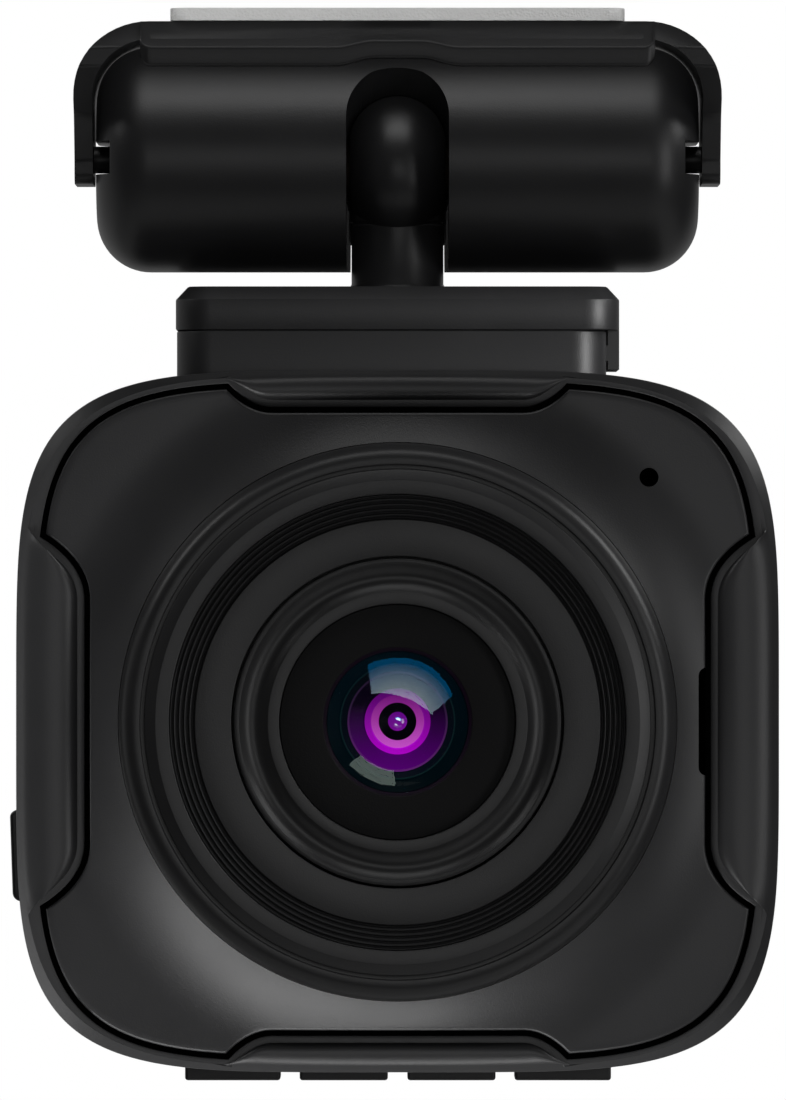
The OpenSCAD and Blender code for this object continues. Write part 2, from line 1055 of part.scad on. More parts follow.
// Two storage capacitors side by side, which carry the camera through a loss of power
module power_cells() {
    cell_r = 4;
    color("navy")
        camera_frame()
            for (x = [-14.6, -23])
                translate([x, -3, board_h + board_t + cell_r + 0.1])
                    rotate([-90, 0, 0])
                        cylinder(r = cell_r, h = 16.4);
}

module speaker() {
    color([0.2, 0.2, 0.2])
        camera_frame()
            translate([0, -22.4, 0])
                at_h(back_h + wall, back_h + wall + 3)
                    rounded_rect(15, 7, 2);
}

module microphone() {
    color("silver")
        camera_frame()
            translate([mic_x, mic_y, 8.2])
                cylinder(r = 2.2, h = 1);
}

module microphone_seal() {
    color([0.1, 0.1, 0.1])
        camera_frame()
            translate([mic_x, mic_y, 9.2])
                difference() {
                    cylinder(r = 2.2, h = floor_h - 9.2);
                    translate([0, 0, -eps])
                        cylinder(r = mic_d / 2, h = 3);
                }
}

// ---- Buttons ----

// Height of the inner wall's curve at x, and the shared tops of the four buttons
function inner_y(x) = -(half_h - wall) * pow(1 - pow(abs(x) / (half_w - wall), body_power), 1 / body_power);
button_top = inner_y(button_x[3] + button_w[3] / 2 + flange) + 0.05 + flange_t;
switch_from = button_top + button_travel + 0.05;
switch_t = 1.1;

module press_button(i) {
    outer_x = abs(button_x[i]) + button_w[i] / 2 + flange;
    flange_from = inner_y(outer_x) + 0.05;
    color([0.08, 0.08, 0.09])
        camera_frame() {
            button_block(i, 0, -half_h - button_out, button_top);
            button_block(i, flange, flange_from, flange_from + flange_t);
        }
}

module button_far_left() {
    press_button(0);
}

module button_left() {
    press_button(1);
}

module button_right() {
    press_button(2);
}

module button_far_right() {
    press_button(3);
}

module button_board() {
    color("darkgreen")
        camera_frame()
            block([-19, switch_from + switch_t, -2], [19, switch_from + switch_t + 0.8, 4.5]);
}

module button_switches() {
    color("silver")
        camera_frame()
            for (x = button_x)
                block([x - 1.8, switch_from, button_h - 1.5], [x + 1.8, switch_from + switch_t, button_h + 1.5]);
}

module side_button() {
    low = side_y - side_len / 2;
    high = side_y + side_len / 2;
    color([0.08, 0.08, 0.09])
        camera_frame() {
            at_h(button_h - side_d / 2, button_h + side_d / 2)
                polygon([
                    [-half_w + 0.05 - side_out, high],
                    [-half_w + 0.31 - side_out, low],
                    [side_top, low],
                    [side_top, high]
                ]);
            block(
                [side_top - flange_t, low - flange, button_h - side_d / 2 - flange],
                [side_top, high + flange, button_h + side_d / 2 + flange]
            );
        }
}

module side_switch() {
    switch_x = side_top + button_travel + 0.05;
    color("silver")
        camera_frame()
            block([switch_x, -13.2, board_h + board_t], [switch_x + 1.8, -9.9, button_h + 1.5]);
}

// ---- Sockets ----

module power_inlet() {
    shell = 0.35;
    depth = 6.6;
    outer_x = half_w - 0.6;
    low = [outer_x - depth, inlet_y - inlet_w / 2, inlet_h - inlet_t / 2];
    high = [outer_x, inlet_y + inlet_w / 2, inlet_h + inlet_t / 2];
    color("silver")
        camera_frame() {
            difference() {
                block(low, high);
                block(low + [1, shell, shell], high + [1, -shell, -shell]);
            }
            block([low[0] + 0.9, inlet_y - 3.3, inlet_h - 0.35], [high[0] - 1, inlet_y + 3.3, inlet_h + 0.35]);
        }
}

module card_socket() {
    socket_from = half_w - 0.6 - card_l - 0.5;
    color("silver")
        camera_frame()
            difference() {
                block(
                    [socket_from, card_y - card_w / 2 - 0.7, board_h + board_t],
                    [28, card_y + card_w / 2 + 0.7, card_h + card_t + 0.7]
                );
                block(
                    [socket_from + 0.4, card_y - card_w / 2 - 0.1, card_h - 0.1],
                    [40, card_y + card_w / 2 + 0.1, card_h + card_t + 0.1]
                );
            }
}

module memory_card() {
    outer_x = half_w - 0.6;
    color([0.1, 0.1, 0.12])
        camera_frame()
            block(
                [outer_x - card_l, card_y - card_w / 2, card_h],
                [outer_x, card_y + card_w / 2, card_h + card_t]
            );
}

adhesive_pad();
bracket();
pivot_pins();
barrel_front();
barrel_rear();
barrel_screws();
knuckle_axle();
friction_washers();
knuckle_stem();
swivel_washer();
swivel_screw();
shoe();
contact_pins();
dock();
contact_pads();
front_frame();
rear_housing();
housing_screws();
front_cover();
lens_bezel();
ridged_ring();
dished_ring();
lens_retainer();
front_lens();
lens_barrel();
middle_lens();
rear_lens();
infrared_filter();
lens_holder();
image_sensor();
sensor_board();
main_board();
heat_spreader();
processor();
display_module();
display_window();
power_cells();
speaker();
microphone();
microphone_seal();
button_board();
button_switches();
side_switch();
button_far_left();
button_left();
button_right();
button_far_right();
side_button();
power_inlet();
card_socket();
memory_card();
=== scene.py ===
# %% [markdown]
# # A dash camera on a pivoting windscreen mount
#
# The object is a small squarish camera that hangs from the windscreen. Almost everything on it is black
# plastic, so its shape is told by highlights alone: soft bands on the barrel, thin bright lines on edges,
# and fine rings round the lens. The lesson is therefore mostly about edges, and about how rough each
# black surface is.
#
# The engineering model arrives first as a fixed frame. It says where every piece is. Pieces whose plain
# engineering shape is good enough keep it and only get a finish. The ones that are seen are built again
# here with rounded edges, in the same place and at the same size.

# %% Load the frame
import json
import math
import bmesh
import bpy
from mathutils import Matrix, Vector


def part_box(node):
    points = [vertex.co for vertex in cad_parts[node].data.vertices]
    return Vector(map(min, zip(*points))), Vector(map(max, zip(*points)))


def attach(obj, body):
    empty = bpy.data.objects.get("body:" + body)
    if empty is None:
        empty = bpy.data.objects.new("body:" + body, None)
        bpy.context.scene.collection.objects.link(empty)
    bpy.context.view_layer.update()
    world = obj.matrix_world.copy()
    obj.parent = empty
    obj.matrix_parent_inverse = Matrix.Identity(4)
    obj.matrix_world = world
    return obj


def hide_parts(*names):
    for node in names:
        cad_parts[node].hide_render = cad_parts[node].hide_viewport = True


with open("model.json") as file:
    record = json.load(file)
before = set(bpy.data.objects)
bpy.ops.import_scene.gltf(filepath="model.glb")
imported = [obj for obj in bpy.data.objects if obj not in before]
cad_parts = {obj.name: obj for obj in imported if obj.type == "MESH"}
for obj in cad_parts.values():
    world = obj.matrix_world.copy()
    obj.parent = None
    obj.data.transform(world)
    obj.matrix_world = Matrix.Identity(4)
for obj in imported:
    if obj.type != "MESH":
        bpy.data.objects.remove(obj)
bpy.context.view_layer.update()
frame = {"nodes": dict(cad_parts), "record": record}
RECORD = frame["record"]
MM = 0.001

# %% [markdown]
# ## Camera first
#
# A product view like this is taken from far away with a long lens, so that nothing looks bent by
# perspective. The lens length follows from two things that are easy to measure on a real set: how far the
# camera stands from the object, and how tall a field it has to see there. Blender's sensor is 36 mm on the
# long side, so the focal length is 36 times the distance over the height.

# %% Camera
LENS_LOW, LENS_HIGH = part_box("front_frame")
LENS_Z = (LENS_LOW.z + LENS_HIGH.z) / 2
VIEW_DISTANCE = 1.0
VIEW_HEIGHT = 92.15 * MM
VIEW_CENTRE_X = -0.38 * MM
VIEW_CENTRE_Z = -45.55 * MM
SENSOR = 36.0


def place_camera():
    data = bpy.data.cameras.new("long_lens")
    data.sensor_width = SENSOR
    data.lens = SENSOR * VIEW_DISTANCE / VIEW_HEIGHT
    data.clip_start = 0.01
    data.clip_end = 20.0
    eye = bpy.data.objects.new("long_lens", data)
    eye.location = (VIEW_CENTRE_X, LENS_LOW.y - VIEW_DISTANCE, VIEW_CENTRE_Z)
    eye.rotation_euler = (math.radians(90), 0, 0)
    bpy.context.scene.collection.objects.link(eye)
    bpy.context.scene.camera = eye
    print("focal length", round(data.lens), "mm")


place_camera()

# %% [markdown]
# ## Tools for shapes
#
# Three ways of making a solid cover this whole object. A *turned* solid is a profile spun about an axis,
# which is how a real lens ring is cut. A *prism* is an outline pushed straight through, like a moulded
# plate. A *loft* joins a row of loops that all have the same number of points, which makes the shells.
#
# Sharp corners never look real, because every moulded or machined edge has a small radius that catches the
# light. Profiles get theirs as arcs when they are drawn. Solids that are cut by others get theirs
# afterwards from a Bevel modifier, which only touches edges that are sharper than a set angle.

# %% Outlines
def arc_corner(before, corner, after, radius, steps=5):
    """Points that round one corner of an outline with an arc."""
    before, corner, after = Vector(before), Vector(corner), Vector(after)
    into = (before - corner).normalized()
    out = (after - corner).normalized()
    angle = into.angle(out, math.pi)
    if radius <= 0 or angle > math.radians(176):
        return [tuple(corner)]
    reach = radius / math.tan(angle / 2)
    limit = min((before - corner).length, (after - corner).length) * 0.48
    if reach > limit:
        radius *= limit / reach
        reach = limit
    centre = corner + (into + out).normalized() * (radius / math.sin(angle / 2))
    first = corner + into * reach - centre
    last = corner + out * reach - centre
    turn = first.angle_signed(last)
    points = []
    for i in range(steps + 1):
        a = -turn * i / steps
        x = first.x * math.cos(a) - first.y * math.sin(a)
        y = first.x * math.sin(a) + first.y * math.cos(a)
        points.append((centre.x + x, centre.y + y))
    return points


def rounded(points, radius, steps=5):
    """The outline with its corners rounded: radius is one number, or one for each corner."""
    count = len(points)
    radii = radius if isinstance(radius, (list, tuple)) else [radius] * count
    result = []
    for i in range(count):
        result += arc_corner(points[i - 1], points[i], points[(i + 1) % count], radii[i], steps)
    return result


def rectangle(x0, y0, x1, y1):
    return [(x0, y0), (x1, y0), (x1, y1), (x0, y1)]


def circle(radius, steps=96, centre=(0, 0)):
    return [
        (
            centre[0] + radius * math.cos(2 * math.pi * i / steps),
            centre[1] + radius * math.sin(2 * math.pi * i / steps),
        )
        for i in range(steps)
    ]


# %% Solids
def as_object(name, vertices, faces):
    mesh = bpy.data.meshes.new(name)
    mesh.from_pydata([tuple(v) for v in vertices], [], faces)
    work = bmesh.new()
    work.from_mesh(mesh)
    bmesh.ops.remove_doubles(work, verts=work.verts, dist=1e-7)
    loose = [edge for edge in work.edges if not edge.link_faces]
    bmesh.ops.delete(work, geom=loose, context="EDGES")
    bmesh.ops.recalc_face_normals(work, faces=work.faces)
    work.to_mesh(mesh)
    work.free()
    piece = bpy.data.objects.new(name, mesh)
    bpy.context.scene.collection.objects.link(piece)
    return piece


def loft(name, loops, closed=False, caps=True):
    """Joins loops of equal length. closed joins the last loop to the first, caps fills the two ends."""
    count = len(loops[0])
    vertices = [v for loop in loops for v in loop]
    faces = []
    last = len(loops) if closed else len(loops) - 1
    for k in range(last):
        a = k * count
        b = ((k + 1) % len(loops)) * count
        for i in range(count):
            j = (i + 1) % count
            faces.append((a + i, a + j, b + j, b + i))
    if caps and not closed:
        faces.append(tuple(range(count)))
        faces.append(tuple(range((len(loops) - 1) * count, len(loops) * count)))
    return as_object(name, vertices, faces)


def prism(name, outline, axis, low, high):
    """Pushes an outline along X, Y or Z. Its two numbers are the other two axes in X, Y, Z order."""

    def place(p, t):
        if axis == "X":
            return (t, p[0], p[1])
        if axis == "Y":
            return (p[0], t, p[1])
        return (p[0], p[1], t)

    return loft(name, [[place(p, low) for p in outline], [place(p, high) for p in outline]])


def turned(name, profile, place, steps=192):
    """Spins a closed profile of (radius, height). place turns (across, up, height) into a point."""
    loops = []
    for radius, height in profile:
        loops.append([
            place(
                radius * math.cos(2 * math.pi * i / steps),
                radius * math.sin(2 * math.pi * i / steps),
                height,
            )
            for i in range(steps)
        ])
    return loft(name, loops, closed=True)


# %% Cutting, joining and softening
def settle(piece):
    """Makes the modifiers' result the piece's own mesh."""
    graph = bpy.context.evaluated_depsgraph_get()
    result = bpy.data.meshes.new_from_object(piece.evaluated_get(graph))
    result.name = piece.name
    piece.modifiers.clear()
    piece.data = result
    return piece


def combine(piece, others, how):
    for other in others:
        step = piece.modifiers.new("combine", "BOOLEAN")
        step.operation = how
        step.solver = "EXACT"
        step.object = other
        settle(piece)
        bpy.data.objects.remove(other)
    return piece


def cut(piece, *others):
    return combine(piece, others, "DIFFERENCE")


def join(piece, *others):
    return combine(piece, others, "UNION")


def common(piece, *others):
    return combine(piece, others, "INTERSECT")


def smooth(piece, angle=32):
    """Shades smoothly, except across edges sharper than the angle in degrees."""
    work = bmesh.new()
    work.from_mesh(piece.data)
    bmesh.ops.remove_doubles(work, verts=work.verts, dist=2e-7)
    bmesh.ops.dissolve_degenerate(work, edges=work.edges, dist=1e-7)
    for face in work.faces:
        face.smooth = True
    for edge in work.edges:
        edge.smooth = edge.calc_face_angle(0.0) < math.radians(angle)
    work.to_mesh(piece.data)
    work.free()
    return piece


def soften(piece, width, angle=32, segments=3):
    """Rounds every sharp edge, then weights normals so that large faces stay flat."""
    smooth(piece, angle)
    edge = piece.modifiers.new("edge", "BEVEL")
    edge.width = width
    edge.segments = segments
    edge.limit_method = "ANGLE"
    edge.angle_limit = math.radians(angle)
    edge.use_clamp_overlap = True
    settle(piece)
    smooth(piece, 40)
    level = piece.modifiers.new("level", "WEIGHTED_NORMAL")
    level.keep_sharp = True
    return settle(piece)


# %% [markdown]
# ## Where things are
#
# Two frames are used. The mount is described in plain X, Y, Z. The camera is easier to describe as seen
# from the front: across, up from the lens axis, and height towards the viewer. `seen` turns the second
# into the first.

# %% Places
def seen(across, up, height):
    return (across * MM, -height * MM, LENS_Z + up * MM)


def slug(name, outline_points, low, high):
    """Pushes an outline, as seen from the front, from one height to another."""
    return loft(name, [[seen(x, y, h) for x, y in outline_points] for h in (low, high)])


HALF_W = LENS_HIGH.x / MM
HALF_H = (LENS_HIGH.z - LENS_Z) / MM
SEAM = -LENS_HIGH.y / MM
BACK = -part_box("rear_housing")[1].y / MM
CROWN = -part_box("lens_bezel")[0].y / MM
FLOOR = -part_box("lens_bezel")[1].y / MM
RIM = 13.0
POWER = 4.75
print("body", round(2 * HALF_W, 2), "x", round(2 * HALF_H, 2), "mm, bezel stands at", round(CROWN, 2))

# %% [markdown]
# ## A small language for finishes
#
# A Blender material is a graph of nodes, and a graph written as code is hard to read. Two small classes help.
# `Wire` stands for one output socket and knows plus, minus, times and divide, so `1 - mask` adds a Math node.
# `Recipe` is one material with one method for every other node: its type, then its settings, then what goes
# into its sockets.

# %% Wire and Recipe
class Wire:
    """One output socket, so that shader maths reads like arithmetic."""

    def __init__(self, recipe, socket):
        self.recipe = recipe
        self.socket = socket

    def maths(self, how, left, right):
        return self.recipe.node("Math", {"operation": how}, {0: left, 1: right})

    def __add__(self, other):
        return self.maths("ADD", self, other)

    def __radd__(self, other):
        return self.maths("ADD", other, self)

    def __sub__(self, other):
        return self.maths("SUBTRACT", self, other)

    def __rsub__(self, other):
        return self.maths("SUBTRACT", other, self)

    def __mul__(self, other):
        return self.maths("MULTIPLY", self, other)

    def __rmul__(self, other):
        return self.maths("MULTIPLY", other, self)

    def __truediv__(self, other):
        return self.maths("DIVIDE", self, other)

    def __rtruediv__(self, other):
        return self.maths("DIVIDE", other, self)


class Recipe:
    """One material and the nodes in it."""

    def __init__(self, name):
        self.material = bpy.data.materials.new(name)
        self.material.use_nodes = True
        self.tree = self.material.node_tree
        self.tree.nodes.clear()

    def node(self, kind, settings=None, sockets=None, result=0):
        made = self.tree.nodes.new("ShaderNode" + kind)
        for key, value in (settings or {}).items():
            if key == "stops":
                self.set_stops(made.color_ramp, value)
            else:
                setattr(made, key, value)
        for key, value in (sockets or {}).items():
            if isinstance(value, Wire):
                self.tree.links.new(value.socket, made.inputs[key])
            else:
                made.inputs[key].default_value = value
        return Wire(self, made.outputs[result])

    def set_stops(self, ramp, stops):
        while len(ramp.elements) < len(stops):
            ramp.elements.new(0.5)
        for element, (position, colour) in zip(ramp.elements, stops):
            element.position = position
            element.color = grey(colour) if isinstance(colour, float) else (*colour, 1.0)

    def places(self):
        return self.node("TexCoord", result=3)

    def noise(self, size, detail=2.0, stretch=(1, 1, 1)):
        """Noise whose blotches are about size metres across."""
        scale = tuple(s / size for s in stretch)
        where = self.node("Mapping", {}, {"Vector": self.places(), "Scale": scale})
        return self.node("TexNoise", {}, {"Vector": where, "Scale": 1.0, "Detail": detail})

    def between(self, mask, low, high):
        """The number low where the mask is 0, and high where it is 1."""
        return mask * (high - low) + low

    def blend(self, mask, first, second):
        """Mixes two colours by a mask."""
        sockets = {0: mask, 6: first, 7: second}
        return self.node("Mix", {"data_type": "RGBA"}, sockets, 2)

    def bump(self, height, strength, distance):
        sockets = {"Height": height, "Strength": strength, "Distance": distance}
        return self.node("Bump", {}, sockets)

    def finish(self, **sockets):
        """Ends the recipe in a Principled BSDF. Names use _ where the socket's name has a space."""
        named = {key.replace("_", " "): value for key, value in sockets.items()}
        shader = self.node("BsdfPrincipled", {}, named)
        self.node_output(shader)
        return self.material

    def node_output(self, shader):
        out = self.tree.nodes.new("ShaderNodeOutputMaterial")
        self.tree.links.new(shader.socket, out.inputs["Surface"])


def grey(value):
    return (value, value, value, 1.0)


def colour(red, green, blue):
    return (red, green, blue, 1.0)


# %% [markdown]
# ## Black plastics
#
# The camera and its mount are moulded in black ABS. The mould is spark-eroded, which leaves a grain of very
# small pits, and the grain is what makes the plastic satin and not glossy. Each moulding also varies a
# little: where it flowed, where it was touched, and where dust has settled.
#
# One function makes all of them. Fine noise goes into a Bump node for the grain. Broad noise moves the
# roughness and the colour by a few per cent, which is enough to stop a highlight from looking drawn.

# %% Plastic
def plastic(name, shade, rough, grain=0.25, pit=0.00014, specular=0.5, patchy=0.10):
    recipe = Recipe(name)
    cloud = recipe.noise(0.009, 3.0)
    pits = recipe.noise(pit, 2.0)
    tint = recipe.blend(cloud, colour(*[c * 0.82 for c in shade]), colour(*[c * 1.18 for c in shade]))
    gloss = recipe.between(cloud, rough - patchy / 2, rough + patchy / 2)
    gloss = gloss + (pits - 0.5) * 0.08
    return recipe.finish(
        Base_Color=tint,
        Roughness=gloss,
        Specular_IOR_Level=specular,
        Normal=recipe.bump(pits, grain, 0.00004),
    )


MATERIALS = {
    "bracket_plastic": plastic("bracket_black", (0.021, 0.021, 0.022), 0.40),
    "barrel_plastic": plastic("barrel_black", (0.021, 0.021, 0.022), 0.36),
    "shoe_plastic": plastic("shoe_black", (0.022, 0.022, 0.023), 0.40),
    "housing_plastic": plastic("housing_black", (0.014, 0.014, 0.015), 0.42),
    "frame_plastic": plastic("frame_black", (0.024, 0.024, 0.025), 0.38),
    "cover_plastic": plastic("cover_black", (0.020, 0.020, 0.021), 0.36),
    "ring_plastic": plastic("ring_black", (0.026, 0.026, 0.027), 0.36, 0.2),
    "disc_plastic": plastic("disc_black", (0.0045, 0.0045, 0.005), 0.55, 0.3, specular=0.25),
    "button_plastic": plastic("button_black", (0.022, 0.022, 0.023), 0.34),
    "card_plastic": plastic("card_black", (0.012, 0.012, 0.014), 0.45),
    "chip_plastic": plastic("chip_black", (0.010, 0.010, 0.011), 0.6, 0.4),
    "cell_sleeve": plastic("cell_sleeve", (0.010, 0.020, 0.090), 0.30, 0.1),
}
print(len(MATERIALS), "plastics")

# %% [markdown]
# ## Metals, foam, rubber and board
#
# Small metal parts are seen only at an edge or in a hole, but each has its own mark. Turned pins and plated
# screws have fine lines round them, stamped steel has a rolled grain, and gold contacts are smooth.
#
# The adhesive pad is acrylic foam. It is pale, quite matt, and full of tiny cells, so it gets a Voronoi
# pattern in its bump. The circuit boards are green solder mask over copper, with the copper showing through
# as slightly lighter tracks.

# %% Metals
def metal(name, shade, rough, lines=(1, 1, 1)):
    recipe = Recipe(name)
    cloud = recipe.noise(0.004, 2.0)
    grain = recipe.noise(0.0002, 3.0, lines)
    tint = recipe.blend(cloud, colour(*[c * 0.85 for c in shade]), colour(*shade))
    gloss = recipe.between(grain, rough * 0.7, rough * 1.4)
    return recipe.finish(
        Base_Color=tint,
        Metallic=1.0,
        Roughness=gloss,
        Normal=recipe.bump(grain, 0.15, 0.00003),
    )


MATERIALS["steel"] = metal("plated_steel", (0.60, 0.60, 0.62), 0.28, (1, 6, 6))
MATERIALS["aluminium"] = metal("aluminium", (0.72, 0.73, 0.74), 0.35, (1, 1, 8))
MATERIALS["contact_brass"] = metal("gold_contact", (0.85, 0.62, 0.28), 0.22)


# %% Foam, rubber and board
def foam(name):
    recipe = Recipe(name)
    cells = recipe.node("TexVoronoi", {}, {"Vector": recipe.places(), "Scale": 4500.0})
    cloud = recipe.noise(0.006)
    tint = recipe.blend(cloud, colour(0.70, 0.70, 0.69), colour(0.80, 0.80, 0.79))
    return recipe.finish(Base_Color=tint, Roughness=0.8, Normal=recipe.bump(cells, 0.5, 0.00006))


def board(name):
    recipe = Recipe(name)
    tracks = recipe.node(
        "TexBrick",
        {"offset": 0.3},
        {"Vector": recipe.places(), "Scale": 900.0, "Mortar Size": 0.08, "Mortar Smooth": 0.3},
        1,
    )
    cloud = recipe.noise(0.003)
    mask = tracks * 0.6 + cloud * 0.3
    tint = recipe.blend(mask, colour(0.006, 0.070, 0.028), colour(0.020, 0.150, 0.060))
    return recipe.finish(Base_Color=tint, Roughness=0.32, Normal=recipe.bump(tracks, 0.3, 0.00003))


MATERIALS["adhesive_foam"] = foam("adhesive_foam")
MATERIALS["seal_rubber"] = plastic("seal_rubber", (0.016, 0.016, 0.016), 0.75, 0.5, 0.0003, 0.3)
MATERIALS["circuit_board"] = board("circuit_board")


# %% [markdown]
# ## Glass
#
# The front lens carries an anti-reflection coating. Most of what it shows is the dark inside of the lens,
# and what little it reflects comes back as sharp shapes of light. It is made as a thin clear skin: a low
# alpha lets the coloured parts below show, and a smooth specular layer gives the reflections. The display
# window and the filter are simpler, a nearly black sheet of glass and a tinted one, with faint wipe marks in
# the roughness.

# %% Glass
def glass(name, shade, alpha, rough, specular=0.5, coat=0.0):
    recipe = Recipe(name)
    wipes = recipe.noise(0.006, 3.0, (1, 1, 3))
    tint = recipe.blend(wipes, colour(*[c * 0.9 for c in shade]), colour(*shade))
    return recipe.finish(
        Base_Color=tint,
        Alpha=alpha,
        Roughness=recipe.between(wipes, rough * 0.6, rough * 1.4),
        Specular_IOR_Level=specular,
        Coat_Weight=coat,
        Coat_Roughness=0.02,
    )


MATERIALS["coated_glass"] = glass("coated_glass", (0.001, 0.003, 0.005), 0.16, 0.012, 1.0)
MATERIALS["filter_glass"] = glass("filter_glass", (0.02, 0.12, 0.14), 0.6, 0.04)
MATERIALS["window_glass"] = glass("window_glass", (0.004, 0.004, 0.006), 1.0, 0.06, 0.5, 0.6)
MATERIALS["display_panel"] = glass("display_panel", (0.03, 0.035, 0.05), 1.0, 0.15)
print(len(MATERIALS), "finishes in all")


# %% [markdown]
# ## Putting a piece in its place
#
# Every piece is handed over in the same way: it gets a finish, it rides on a body of the engineering model,
# and the engineering pieces that it stands for are hidden. The finish is the one of its material slot. One
# function keeps that short. A piece with a look of its own gets that look, and its slot is then not used.

# %% Hand a piece over
def place(piece, body, slot_name, *nodes, look=None):
    piece.data.materials.clear()
    piece.data.materials.append(look or MATERIALS[slot_name])
    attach(piece, body)
    if nodes:
        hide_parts(*nodes)
    print(piece.name, "-", len(piece.data.polygons), "faces")
    return piece


# %% [markdown]
# ## The body outline and the gap line
#
# Seen from the front, the body is neither a rectangle nor an ellipse but something between, a superellipse.
# Raising its power makes it squarer. The line of the shadow gap round the front cover follows the same kind
# of curve at the corners, and dips inwards in the middle of each side to leave room for a finger grip.
#
# Every loop of the camera's shells is made from the gap line's own directions, point for point. That way any
# two loops can be joined by simple quads, from the round lens opening to the squarish outside.

# %% Outline and gap line
def squircle(a, b, power, degrees):
    c = math.cos(math.radians(degrees))
    s = math.sin(math.radians(degrees))
    x = math.copysign(abs(c) ** (2 / power), c)
    y = math.copysign(abs(s) ** (2 / power), s)
    return Vector((a * x, b * y))


def bend(a, b, c, steps):
    a, b, c = Vector(a), Vector(b), Vector(c)
    points = []
    for i in range(steps + 1):
        t = i / steps
        points.append((1 - t) ** 2 * a + 2 * t * (1 - t) * b + t * t * c)
    return points


def on_outline(direction, inset, power=POWER):
    """The point of the body outline in a direction from the lens axis."""
    a = HALF_W - inset
    b = HALF_H - inset
    reach = (abs(direction.x / a) ** power + abs(direction.y / b) ** power) ** (-1 / power)
    return direction * reach


def gap_quarter():
    cover_a = HALF_W - 1.87
    cover_b = HALF_H - 1.18
    side = [Vector((26, 10.2 * i / 10)) for i in range(1, 10)]
    first = bend((26, 10.2), (26, 13.3), squircle(cover_a, cover_b, POWER, 14.1), 12)
    corner = [squircle(cover_a, cover_b, POWER, 14.1 + 66.1 * i / 36) for i in range(1, 36)]
    last = bend(squircle(cover_a, cover_b, POWER, 80.2), (12.4, 26.1), (10.5, 26.1), 12)
    top = [Vector((10.5 * i / 10, 26.1)) for i in range(9, 0, -1)]
    return side + first + corner + last + top


def full_turn(quarter):
    flipped = [Vector((-p.x, p.y)) for p in reversed(quarter)]
    half = quarter + [Vector((0, quarter[-1].y))] + flipped + [Vector((-quarter[0].x, 0))]
    lower = [Vector((-p.x, -p.y)) for p in half]
    return half + lower


GAP = full_turn(gap_quarter())
DIRECTIONS = [p.normalized() for p in GAP]


def gap(offset):
    """The gap line moved outwards by an offset, with sharp corners kept sharp."""
    count = len(GAP)
    points = []
    for i in range(count):
        into = (GAP[i] - GAP[i - 1]).normalized()
        out = (GAP[(i + 1) % count] - GAP[i]).normalized()
        side = Vector((into.y + out.y, -into.x - out.x)).normalized()
        reach = offset / max(0.4, side.dot(Vector((into.y, -into.x))))
        points.append(GAP[i] + side * reach)
    return points


def outline(inset, power=POWER):
    return [on_outline(d, inset, power) for d in DIRECTIONS]


def round_loop(radius):
    return [d * radius for d in DIRECTIONS]


def level(points, height):
    """Lifts a flat loop to a height. The height is one number, or a function of the point."""
    if callable(height):
        return [seen(p.x, p.y, height(p)) for p in points]
    return [seen(p.x, p.y, height) for p in points]


print(len(GAP), "points in the gap line")

# %% [markdown]
# ## Front cover
#
# The cover is the large dark plate round the lens. Its face falls a little towards the corners and sweeps up
# in a flare to meet the bezel, which is what gives the broad soft highlight at its lower left. It could be
# a plate with a modifier, but a loft gives the exact sweep: loops from the lens opening to the gap line,
# each lifted to the height that the flare has at its radius. The outer edge is rounded over about 0.2 mm.
#
# The gap, the notch and the microphone hole have to be black inside, and near-black pieces paint that shade:
# a strip low in the gap and a plug in each of the two openings. The engineering model has no such pieces.

# %% Front cover
FLARE_OUT = 31.0
FLARE_IN = 23.4
GAP_HALF = 0.23
EDGE_ROUND = 0.22
MICROPHONE = (21.08, 20.47)


def flare(point):
    t = min(1.0, max(0.0, (FLARE_OUT - point.length) / (FLARE_OUT - FLARE_IN)))
    crown = max(0.0, point.length - 27.0) / 10.0
    return 13.3 + 2.4 * t * t - 0.5 * crown * crown


def front_cover():
    edge = gap(-GAP_HALF - EDGE_ROUND)
    inner = round_loop(FLARE_IN)
    loops = [level(inner, FLOOR)]
    for i in range(19):
        t = i / 18
        loops.append(level([a.lerp(b, t) for a, b in zip(inner, edge)], flare))
    for degrees in (30, 60, 90):
        turn = math.radians(degrees)
        lip_line = gap(-GAP_HALF - EDGE_ROUND * (1 - math.sin(turn)))
        drop = EDGE_ROUND * (1 - math.cos(turn))
        loops.append([seen(p.x, p.y, flare(q) - drop) for p, q in zip(lip_line, edge)])
    loops.append(level(gap(-GAP_HALF), FLOOR))
    return loft("front_cover_shell", loops, closed=True)


def notch_cutter():
    return slug("notch", rounded(rectangle(25.2, -4.54, 27.6, 4.54), 0.7), 11.6, 15)


def mic_cutter():
    return slug("mic", circle(0.8, 48, MICROPHONE), 10, 15)


cover = front_cover()
cut(cover, notch_cutter(), mic_cutter())
smooth(cover, 30)
place(cover, "camera", "cover_plastic", "front_cover")


def painted_shade_plug(name, shape, low, high):
    """A near-black piece that paints the shade inside an opening."""
    piece = slug(name, shape, low, high)
    smooth(piece)
    return place(piece, "camera", "seal_rubber", look=PAINTED_SHADE)


# Near-black and fully rough: painted shade for the gap and the openings.
PAINTED_SHADE = plastic("painted_shade_black", (0.0012, 0.0012, 0.0012), 1.0, 0.6, 0.0002, 0.0)
painted_shade_plug("painted_shade_notch", rounded(rectangle(25.22, -4.5, 26.2, 4.5), 0.4), 11.62, 12.3)
painted_shade_plug("painted_shade_microphone", circle(0.78, 48, MICROPHONE), 11.7, 12.2)


